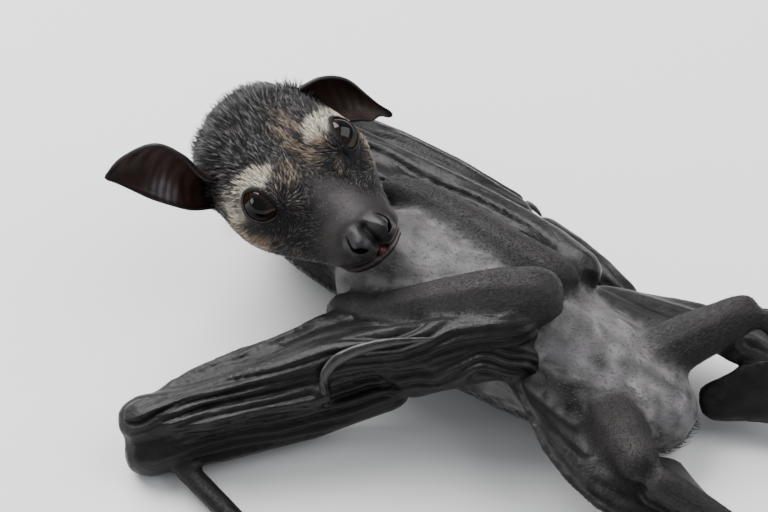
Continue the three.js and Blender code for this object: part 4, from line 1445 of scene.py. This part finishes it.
def head_coat_fields(mesh, masks, colours):
    points, normals = get_points(mesh), get_normals(mesh)
    p = head_places(points)
    forward, left, up = p.T
    head = np.clip(masks["head"] + masks["eye_right"] + masks["eye_left"], 0, 1)
    brow, buff, _, _, muzzle = face_marks(p)
    # lie: back from the muzzle, outward round the eyes, down the cheeks, out over the ears
    flow = np.stack([-np.ones(len(p)), 0.03 * left, np.zeros(len(p))], axis=1)
    cheek = smoothstep(4, -6, up) * smoothstep(2, 7, np.abs(left))
    flow[:, 2] -= 0.7 * cheek
    flow[:, 2] += 0.35 * patch(p, (8, 0, 8), (10, 7, 8), 0.6)
    for side in SIDES:
        eye = EyeFrame(side)
        away = p - eye.centre
        distance = np.linalg.norm(away, axis=1)
        away = away / np.maximum(distance, 1e-6)[:, None]
        near = 1 - smoothstep(6.5, 11.0, distance)
        leaving = np.sum(flow * away, axis=1)
        flow += (near * (np.maximum(leaving, 0.9) - leaving))[:, None] * away
        base = np.array(EARS[side]["base"])
        sign = -1 if side == "right" else 1
        flow[:, 1] += sign * 1.1 * patch(p, tuple(base), (6, 4, 6), 0.6)
    swirl = np.stack([roughness_field(points, 5.0, 21 + k, 2) for k in range(3)], axis=1)
    flow += 0.4 * swirl
    lie = along_skin(flow @ np.array(HEAD_TURNED).T, normals)
    # where it grows, how long and how upright
    front = smoothstep(25.0, 17.0, forward - 0.25 * np.abs(left) + 0.2 * up)
    density = head * (0.15 + 0.85 * front) * smoothstep(28.5, 25.5, forward)
    verge = np.ones(len(p))
    for side in SIDES:
        x, y, distance, _ = around_eye(p, side)
        value = opening_value(x, y)
        density *= np.where(distance < 9, smoothstep(1.16, 1.45, value), 1)
        verge = np.minimum(verge, np.where(distance < 9, smoothstep(1.1, 2.8, value), 1))
    crown = smoothstep(9, -4, forward) * smoothstep(-7, 3, up)
    length = 1.7 + 2.6 * crown + 0.6 * brow + 0.7 * buff
    length += 1.3 * smoothstep(1, -8, up) * smoothstep(12, 2, forward)
    length *= (1 - 0.66 * muzzle) * (0.34 + 0.66 * verge)
    length *= 1 + 0.22 * roughness_field(points, 3.0, 40, 2)
    lift = 0.40 + 0.30 * crown + 0.08 * brow - 0.26 * muzzle
    root, tip, frost = coat_colours(points, p, colours)
    fields = {"coat_density": density, "coat_length": length * MM, "coat_lift": lift, "coat_lie": lie,
              "coat_root": root, "coat_tip": tip, "coat_frost": frost, "coat_map": head_map(p)}
    return off_the_floor(fields, points, normals)


def head_map(places):
    """Round the head from its axis, and along it: an unwrap of the head's own shape."""
    angle = np.arctan2(places[:, 1], -places[:, 2] - 0.15 * places[:, 0]) / (2 * math.pi) + 0.5
    along = np.clip((places[:, 0] + 22) / 56, 0, 1)
    return np.stack([0.01 + 0.97 * angle, 0.01 + 0.97 * along, np.zeros(len(places))], axis=1)


# limb: start and end on the body, which way its hair lies
LIMB_LINES = {
    "upper_arm_right": ((5, -17, 14.5), (49.5, -0.5, 31)),
    "upper_arm_left": ((-3, 14.6, 15), (47.5, 6.8, 23.5)),
    "forearm_right": ((47, -6.5, 27.5), (-15, -60, 7)),
    "forearm_left": ((48, 13, 20.5), (-34, 27, 7.5)),
    "thigh_right": ((62, -6, 11), (79.5, -23.5, 24)),
    "thigh_left": ((62, 6, 11), (79.5, 23.5, 24)),
    "shank_right": ((79.5, -23.5, 24), (107, -16.5, 8)),
    "shank_left": ((79.5, 23.5, 24), (107, 16.5, 8)),
    "neck": ((-27, 1, 21), (10, 1, 11.5)),
    "trunk": ((-3, 0, 13), (79, 0, 8.5)),
}


def body_coat_fields(mesh, masks, colours):
    """The coat of the neck, back and legs, and beside it the velvet of the arms and the chest."""
    points, normals = get_points(mesh), get_normals(mesh)
    count = len(points)
    flow, spots, best = np.zeros((count, 3)), np.zeros((count, 3)), np.zeros(count)
    for index, (node, (start, end)) in enumerate(LIMB_LINES.items()):
        a, z = np.array(on_body(*start)), np.array(on_body(*end))
        direction = (z - a) / np.linalg.norm(z - a)
        flow += masks[node][:, None] * direction
        side = np.cross(direction, (0, 0, 1.0))
        side /= np.linalg.norm(side)
        top = np.cross(side, direction)
        offset = points - a
        angle = np.arctan2(offset @ side, offset @ top) / (2 * math.pi) + 0.5
        along = np.clip((offset @ direction) / np.linalg.norm(z - a), -0.1, 1.1)
        column, row = index % 4, index // 4
        spot = np.stack([
            (column + 0.04 + 0.9 * angle) / 4, (row + 0.1 + 0.8 * along) / 3, np.zeros(count)], axis=1)
        own = masks[node] > best
        spots[own] = spot[own]
        best = np.maximum(best, masks[node])
    swirl = np.stack([roughness_field(points, 7.0, 71 + k, 2) for k in range(3)], axis=1)
    lie = along_skin(flow + 0.3 * swirl, normals)
    arms = summed(masks, "upper_arm")
    legs = summed(masks, "thigh", "shank")
    neck, trunk = masks["neck"], masks["trunk"]
    back = smoothstep(0.2, -0.4, normals[:, 2])
    patchy = roughness_field(points, 5.0, 80, 2)
    clear = smoothstep(0.8, 2.0, points[:, 2] / MM)
    shared = {"coat_lie": lie, "coat_map": spots}

    long_density = 0.5 * legs + 1.0 * neck + 0.8 * trunk * back
    long_length = np.maximum(1.3 * legs + 3.2 * neck + 3.4 * trunk * back, 0.9) * (1 + 0.2 * patchy)
    root = blended(np.tile(np.array(colours.fur_dark[:3]), (count, 1)), np.array(colours.arm[:3]) * 1.7, legs)
    tip = blended(np.tile(np.array(colours.fur_tip[:3]), (count, 1)), colours.arm_hair, legs)
    coat = {"coat_density": np.clip(long_density, 0, 1) * clear, "coat_length": long_length * MM,
            "coat_lift": 0.26 + 0.22 * neck + 0.10 * trunk * back, "coat_root": root, "coat_tip": tip,
            "coat_frost": np.clip(0.30 + 0.1 * patchy, 0, 1), **shared}

    chest = trunk * (1 - back)
    # painted light: the hair roots are the arm's skin colour lightened, against the hairs' own shadow
    root = blended(np.tile(np.array(colours.arm[:3]) * 1.8, (count, 1)), colours.chest, chest)
    tip = blended(np.tile(np.array(colours.arm_hair[:3]), (count, 1)), colours.chest_hair, chest)
    short_density = arms + 0.8 * legs + 0.18 * chest
    velvet = {"coat_density": np.clip(short_density, 0, 1) * clear, "coat_root": root, "coat_tip": tip,
              "coat_length": (0.85 + 0.2 * patchy) * MM, "coat_lift": np.full(count, 0.22),
              "coat_frost": np.clip(0.45 + 0.3 * patchy, 0, 1), **shared}
    return off_the_floor(coat, points, normals), off_the_floor(velvet, points, normals)


COAT_KINDS = {
    "coat_density": "FLOAT", "coat_length": "FLOAT", "coat_lift": "FLOAT", "coat_lie": "FLOAT_VECTOR",
    "coat_root": "FLOAT_COLOR", "coat_tip": "FLOAT_COLOR", "coat_frost": "FLOAT", "coat_map": "FLOAT_VECTOR",
}


def coat_ground(name, mesh, fields):
    """A copy of the skin that carries the coat's fields, without the faces that grow nothing."""
    ground = mesh.copy()
    ground.name = name
    for field, kind in COAT_KINDS.items():
        put_attribute(ground, field, kind, fields[field])
    shape = bmesh.new()
    shape.from_mesh(ground)
    shape.verts.ensure_lookup_table()
    grows = fields["coat_density"] > 0.02
    idle = [f for f in shape.faces if not any(grows[v.index] for v in f.verts)]
    bmesh.ops.delete(shape, geom=idle, context="FACES")
    shape.to_mesh(ground)
    shape.free()
    return ground


def coat_area(ground):
    """Square metres of the ground, each face counted by the density of the coat on it."""
    density = np.empty(len(ground.vertices), np.float32)
    ground.attributes["coat_density"].data.foreach_get("value", density)
    return sum(face.area * float(np.mean(density[list(face.vertices)])) for face in ground.polygons)


# ---------------------------------------------------------------- sizes and colours


def colour_prop(name, default):
    return bpy.props.FloatVectorProperty(
        name=name, description=f"{name}, linear", default=default, size=3, min=0, max=1, subtype="COLOR")


class FlyingFoxSizes(bpy.types.PropertyGroup):
    grain: bpy.props.FloatProperty(
        name="Skin grain", description="Size of the skin's faces away from the head",
        default=0.00070, min=0.0004, max=0.002, unit="LENGTH", precision=5)
    swell: bpy.props.FloatProperty(
        name="Swell", description="How far the solids are grown so that they meet",
        default=0.00022, min=0.0, max=0.001, unit="LENGTH", precision=5)
    hair_width: bpy.props.FloatProperty(
        name="Hair width", description="Width of a hair at its root",
        default=0.00010, min=0.00005, max=0.001, unit="LENGTH", precision=5)
    head_tufts: bpy.props.IntProperty(
        name="Head tufts", description="Number of tufts in the fur of the head",
        default=30000, min=100, max=36000)
    body_tufts: bpy.props.IntProperty(
        name="Body tufts", description="Number of tufts in the fur of the body",
        default=6500, min=100, max=7000)
    velvet_tufts: bpy.props.IntProperty(
        name="Velvet tufts", description="Number of tufts of very short hair on the limbs and chest",
        default=30000, min=100, max=32000)
    seed: bpy.props.IntProperty(name="Seed", description="Seed of all the scattering", default=7)


class FlyingFoxColours(bpy.types.PropertyGroup):
    wing: colour_prop("Wing", (0.0082, 0.0075, 0.0076))
    # lighter wing skin, used in random patches and over the flank and rear membranes
    wing_light: colour_prop("Wing, lighter", (0.0200, 0.0188, 0.0192))
    arm: colour_prop("Arm skin", (0.0175, 0.0160, 0.0155))
    arm_hair: colour_prop("Arm hair", (0.070, 0.064, 0.060))
    chest: colour_prop("Chest skin", (0.170, 0.162, 0.166))
    chest_hair: colour_prop("Chest hair", (0.25, 0.24, 0.235))
    muzzle: colour_prop("Muzzle", (0.0140, 0.0110, 0.0108))
    # mauve-grey, partly its own tone and partly a painted highlight
    muzzle_top: colour_prop("Top of the muzzle", (0.056, 0.049, 0.052))
    nose: colour_prop("Nose", (0.0125, 0.0115, 0.0130))
    ring: colour_prop("Ring round the eyes", (0.013, 0.010, 0.0105))
    lid: colour_prop("Eyelids", (0.0042, 0.0038, 0.0040))
    lid_edge: colour_prop("Edge of the lids", (0.11, 0.085, 0.085))
    # pinkish lips, laid on more strongly on the left side as a painted highlight
    lip: colour_prop("Lips", (0.26, 0.19, 0.185))
    ear: colour_prop("Ears", (0.020, 0.0078, 0.0058))
    # a painted glow of light inside the right ear
    ear_glow: colour_prop("Painted glow inside the ear", (0.060, 0.022, 0.010))
    ear_sheen: colour_prop("Sheen inside the ear", (0.20, 0.185, 0.21))
    fur_dark: colour_prop("Dark fur", (0.0115, 0.0105, 0.0120))
    fur_tip: colour_prop("Fur tips", (0.145, 0.138, 0.134))
    brow: colour_prop("Brow", (0.60, 0.54, 0.44))
    buff: colour_prop("Buff streaks", (0.40, 0.28, 0.175))
    iris: colour_prop("Iris", (0.0150, 0.0068, 0.0038))
    tongue: colour_prop("Tongue", (0.050, 0.007, 0.008))
    floor: colour_prop("Floor", (0.86, 0.86, 0.86))


# ---------------------------------------------------------------- operators


class FOX_OT_skin(bpy.types.Operator):
    """Makes the one skin, with its ears, lids and folds, and its markings"""

    bl_idname = "fox.skin"
    bl_label = "Skin and ears"

    def execute(self, context):
        sizes, colours = context.scene.fox_sizes, context.scene.fox_colours
        holder = make_skin(sizes)
        mesh = holder.data
        masks = node_masks(mesh)
        paint_skin(mesh, masks, colours)
        coat_ground("head_ground", mesh, head_coat_fields(mesh, masks, colours))
        coat, velvet = body_coat_fields(mesh, masks, colours)
        coat_ground("body_ground", mesh, coat)
        coat_ground("velvet_ground", mesh, velvet)
        whole = bmesh.new()
        whole.from_mesh(mesh)
        for side in SIDES:
            ear = ear_leaf(side)
            paint_ear(ear, side, colours)
            whole.from_mesh(ear)
            bpy.data.meshes.remove(ear)
        whole.to_mesh(mesh)
        whole.free()
        set_smooth(mesh)
        mesh.materials.clear()
        mesh.materials.append(skin_material())
        finish_piece(holder, "skin", FLESH_NODES + EAR_NODES)
        return {"FINISHED"}


class FOX_OT_eyes(bpy.types.Operator):
    """Makes both eyes, with a dark iris, a wide pupil and a low cornea"""

    bl_idname = "fox.eyes"
    bl_label = "Eyes"

    def execute(self, context):
        colours = context.scene.fox_colours
        material = eye_material()
        for side in SIDES:
            eye = EyeFrame(side)
            mesh = bpy.data.meshes.new("eye_" + side)
            shape = bmesh.new()
            bmesh.ops.create_uvsphere(shape, u_segments=64, v_segments=40, radius=1)
            shape.to_mesh(mesh)
            shape.free()
            unit = get_points(mesh)
            theta = np.degrees(np.arccos(np.clip(unit[:, 2], -1, 1)))
            turn = np.arctan2(unit[:, 1], unit[:, 0])
            bulge = 0.28 * (1 - smoothstep(0, 50, theta))
            local = unit * (EYE_RADIUS - 0.12 + bulge)[:, None]
            places = eye.centre + local @ eye.axes
            set_points(mesh, places * MM @ np.array(HEAD_TURNED).T + np.array(HEAD_ORIGIN))
            iris = np.array(colours.iris[:3])
            streak = 0.75 + 0.35 * np.sin(turn * 34) * np.sin(turn * 13 + 1)
            shade = iris[None, :] * (streak * (0.7 + 0.6 * smoothstep(26, 40, theta)))[:, None]
            pupil = 1 - smoothstep(27, 31, theta)
            shade = blended(shade, (0.0008, 0.0007, 0.0008), pupil)
            shade = blended(shade, (0.010, 0.007, 0.006), smoothstep(48, 54, theta))
            put_attribute(mesh, "markings", "FLOAT_COLOR", np.clip(shade, 0, 1))
            put_attribute(mesh, "wetness", "FLOAT", 0.12 + 0.6 * smoothstep(-0.35, 0.25, unit[:, 1]))
            set_smooth(mesh)
            mesh.materials.append(material)
            finish_piece(new_object("eyeball_" + side, mesh), "eyeball_" + side, ["eye_" + side])
        return {"FINISHED"}


class FOX_OT_claws(bpy.types.Operator):
    """Makes the claws of the thumbs, index fingers and toes"""

    bl_idname = "fox.claws"
    bl_label = "Claws"

    def execute(self, context):
        material = horn_material()
        for node in CLAW_NODES:
            mesh = nodes_as_one([node], 0.0)
            made = new_object(node + "_horn", mesh)
            rounded = made.modifiers.new("rounded", "SUBSURF")
            rounded.levels = rounded.render_levels = 2 if node.startswith("thumb") else 1
            apply_modifiers(made)
            set_smooth(made.data)
            made.data.materials.clear()
            made.data.materials.append(material)
            finish_piece(made, node + "_horn", [node])
        return {"FINISHED"}


class FOX_OT_tongue(bpy.types.Operator):
    """Makes the tip of the tongue that shows between the lips"""

    bl_idname = "fox.tongue"
    bl_label = "Tongue"

    def execute(self, context):
        mesh = nodes_as_one(["tongue"], 0.0)
        made = new_object("tongue_tip", mesh)
        rounded = made.modifiers.new("rounded", "SUBSURF")
        rounded.levels = rounded.render_levels = 2
        apply_modifiers(made)
        set_smooth(made.data)
        made.data.materials.clear()
        made.data.materials.append(tongue_material(context.scene.fox_colours.tongue))
        finish_piece(made, "tongue_tip", ["tongue"])
        return {"FINISHED"}


HEAD_PIECES = 5
BODY_PIECES = 1
VELVET_PIECES = 2
HAIRS = 3                 # in each tuft


def coat_pieces(context, region, pieces, tufts, tuft, sway, width=1.0):
    """Grows the coat of a region in several pieces, each scattered over all of it."""
    sizes = context.scene.fox_sizes
    ground = bpy.data.meshes[region + "_ground"]
    material = hair_material(region + "_hair")
    for index in range(pieces):
        name = f"{region}_coat_{index + 1}"
        made = grow_coat(name, ground, {
            "Tuft": tuft,
            "Tufts per square metre": tufts / pieces / coat_area(ground),
            "Hair width": sizes.hair_width * width,
            "Sway": sway,
            "Seed": sizes.seed + 100 * index,
            "Material": material,
        })
        finish_piece(made, name)
    bpy.data.meshes.remove(ground)


class FOX_OT_head_coat(bpy.types.Operator):
    """Grows the fur of the head"""

    bl_idname = "fox.head_coat"
    bl_label = "Head fur"

    def execute(self, context):
        sizes = context.scene.fox_sizes
        coat_tree()
        tuft = new_object("head_tuft", tuft_mesh("head_tuft", HAIRS, 1.5, 0.16, sizes.seed))
        coat_pieces(context, "head", HEAD_PIECES, sizes.head_tufts, tuft, 0.22)
        bpy.data.objects.remove(tuft)
        return {"FINISHED"}


class FOX_OT_body_coat(bpy.types.Operator):
    """Grows the fur of the neck, arms, legs and back"""

    bl_idname = "fox.body_coat"
    bl_label = "Body fur"

    def execute(self, context):
        sizes = context.scene.fox_sizes
        tuft = new_object("body_tuft", tuft_mesh("body_tuft", HAIRS, 1.6, 0.12, sizes.seed + 1))
        coat_pieces(context, "body", BODY_PIECES, sizes.body_tufts, tuft, 0.15)
        bpy.data.objects.remove(tuft)
        return {"FINISHED"}


CAMERA_AIM = (6.0, -8.0, 20.0)      # millimetres from the root of the neck, along the row's axes
CAMERA_LIFT = 50.0
CAMERA_DISTANCE = 427.0
LENS = 100.0


class FOX_OT_velvet(bpy.types.Operator):
    """Grows the very short hair of the arms, legs and chest"""

    bl_idname = "fox.velvet"
    bl_label = "Velvet of the limbs"

    def execute(self, context):
        sizes = context.scene.fox_sizes
        tuft = new_object("velvet_tuft", tuft_mesh("velvet_tuft", 4, 1.6, 0.5, sizes.seed + 2, (0.0, 1.0)))
        coat_pieces(context, "velvet", VELVET_PIECES, sizes.velvet_tufts, tuft, 0.25, 0.65)
        bpy.data.objects.remove(tuft)
        return {"FINISHED"}


class FOX_OT_stage(bpy.types.Operator):
    """Sets the floor, the soft light and the camera"""

    bl_idname = "fox.stage"
    bl_label = "Floor, light and camera"

    def execute(self, context):
        scene = context.scene
        floor = mesh_from("floor", [(-3, -3, 0), (3, -3, 0), (3, 3, 0), (-3, 3, 0)], [(0, 1, 2, 3)])
        material, nodes, links, shader = fresh_material("pale_floor")
        place = nodes.new("ShaderNodeTexCoord")
        cloud = nodes.new("ShaderNodeTexNoise")
        cloud.inputs["Scale"].default_value = 6
        links.new(place.outputs["Object"], cloud.inputs["Vector"])
        ramp = nodes.new("ShaderNodeValToRGB")
        pale = tuple(scene.fox_colours.floor)
        ramp.color_ramp.elements[0].color = tuple(c * 0.97 for c in pale) + (1,)
        ramp.color_ramp.elements[1].color = pale + (1,)
        links.new(cloud.outputs["Fac"], ramp.inputs["Fac"])
        links.new(ramp.outputs["Color"], shader.inputs["Base Color"])
        shader.inputs["Roughness"].default_value = 0.8
        floor.materials.append(material)
        new_object("floor", floor)

        aim = BODY_ORIGIN + Vector(CAMERA_AIM) * MM
        lift = math.radians(CAMERA_LIFT)
        away = Vector((0, -math.cos(lift), math.sin(lift)))
        data = bpy.data.cameras.new("camera")
        data.lens = LENS
        data.sensor_width = 36
        data.clip_start = 0.01
        camera = bpy.data.objects.new("camera", data)
        scene.collection.objects.link(camera)
        camera.location = aim + away * CAMERA_DISTANCE * MM
        camera.rotation_euler = (-away).to_track_quat("-Z", "Y").to_euler()
        scene.camera = camera

        world = bpy.data.worlds.new("soft_studio")
        world.use_nodes = True
        world.node_tree.nodes["Background"].inputs["Color"].default_value = (0.93, 0.96, 1.0, 1)
        world.node_tree.nodes["Background"].inputs["Strength"].default_value = 0.42
        scene.world = world
        for name, place, size, power in (
            ("key", (-0.45, 0.60, 0.75), 0.95, 30.0),
            ("fill", (0.60, 0.10, 0.65), 0.8, 6.0),
            ("window", (-0.90, -0.10, 0.30), 0.35, 2.0),
        ):
            data = bpy.data.lights.new(name, "AREA")
            data.size = size
            data.energy = power
            lamp = bpy.data.objects.new(name, data)
            scene.collection.objects.link(lamp)
            lamp.location = aim + Vector(place)
            lamp.rotation_euler = (-Vector(place)).to_track_quat("-Z", "Y").to_euler()
        return {"FINISHED"}


STEPS = (FOX_OT_skin, FOX_OT_eyes, FOX_OT_claws, FOX_OT_tongue, FOX_OT_head_coat, FOX_OT_body_coat,
         FOX_OT_velvet, FOX_OT_stage)


class FOX_PT_panel(bpy.types.Panel):
    """Lists the steps that build the animal"""

    bl_label = "Flying fox"
    bl_idname = "FOX_PT_panel"
    bl_space_type = "VIEW_3D"
    bl_region_type = "UI"
    bl_category = "Flying fox"

    def draw(self, context):
        for step in STEPS:
            self.layout.operator(step.bl_idname)
        for group in (context.scene.fox_sizes, context.scene.fox_colours):
            for name in group.__annotations__:
                self.layout.prop(group, name)


CLASSES = (FlyingFoxSizes, FlyingFoxColours) + STEPS + (FOX_PT_panel,)


def register():
    for item in CLASSES:
        bpy.utils.register_class(item)
    bpy.types.Scene.fox_sizes = bpy.props.PointerProperty(type=FlyingFoxSizes)
    bpy.types.Scene.fox_colours = bpy.props.PointerProperty(type=FlyingFoxColours)


def unregister():
    del bpy.types.Scene.fox_sizes
    del bpy.types.Scene.fox_colours
    for item in reversed(CLASSES):
        bpy.utils.unregister_class(item)


def main():
    register()
    for step in STEPS:
        group, name = step.bl_idname.split(".")
        getattr(getattr(bpy.ops, group), name)()


if __name__ == "__main__":
    main()
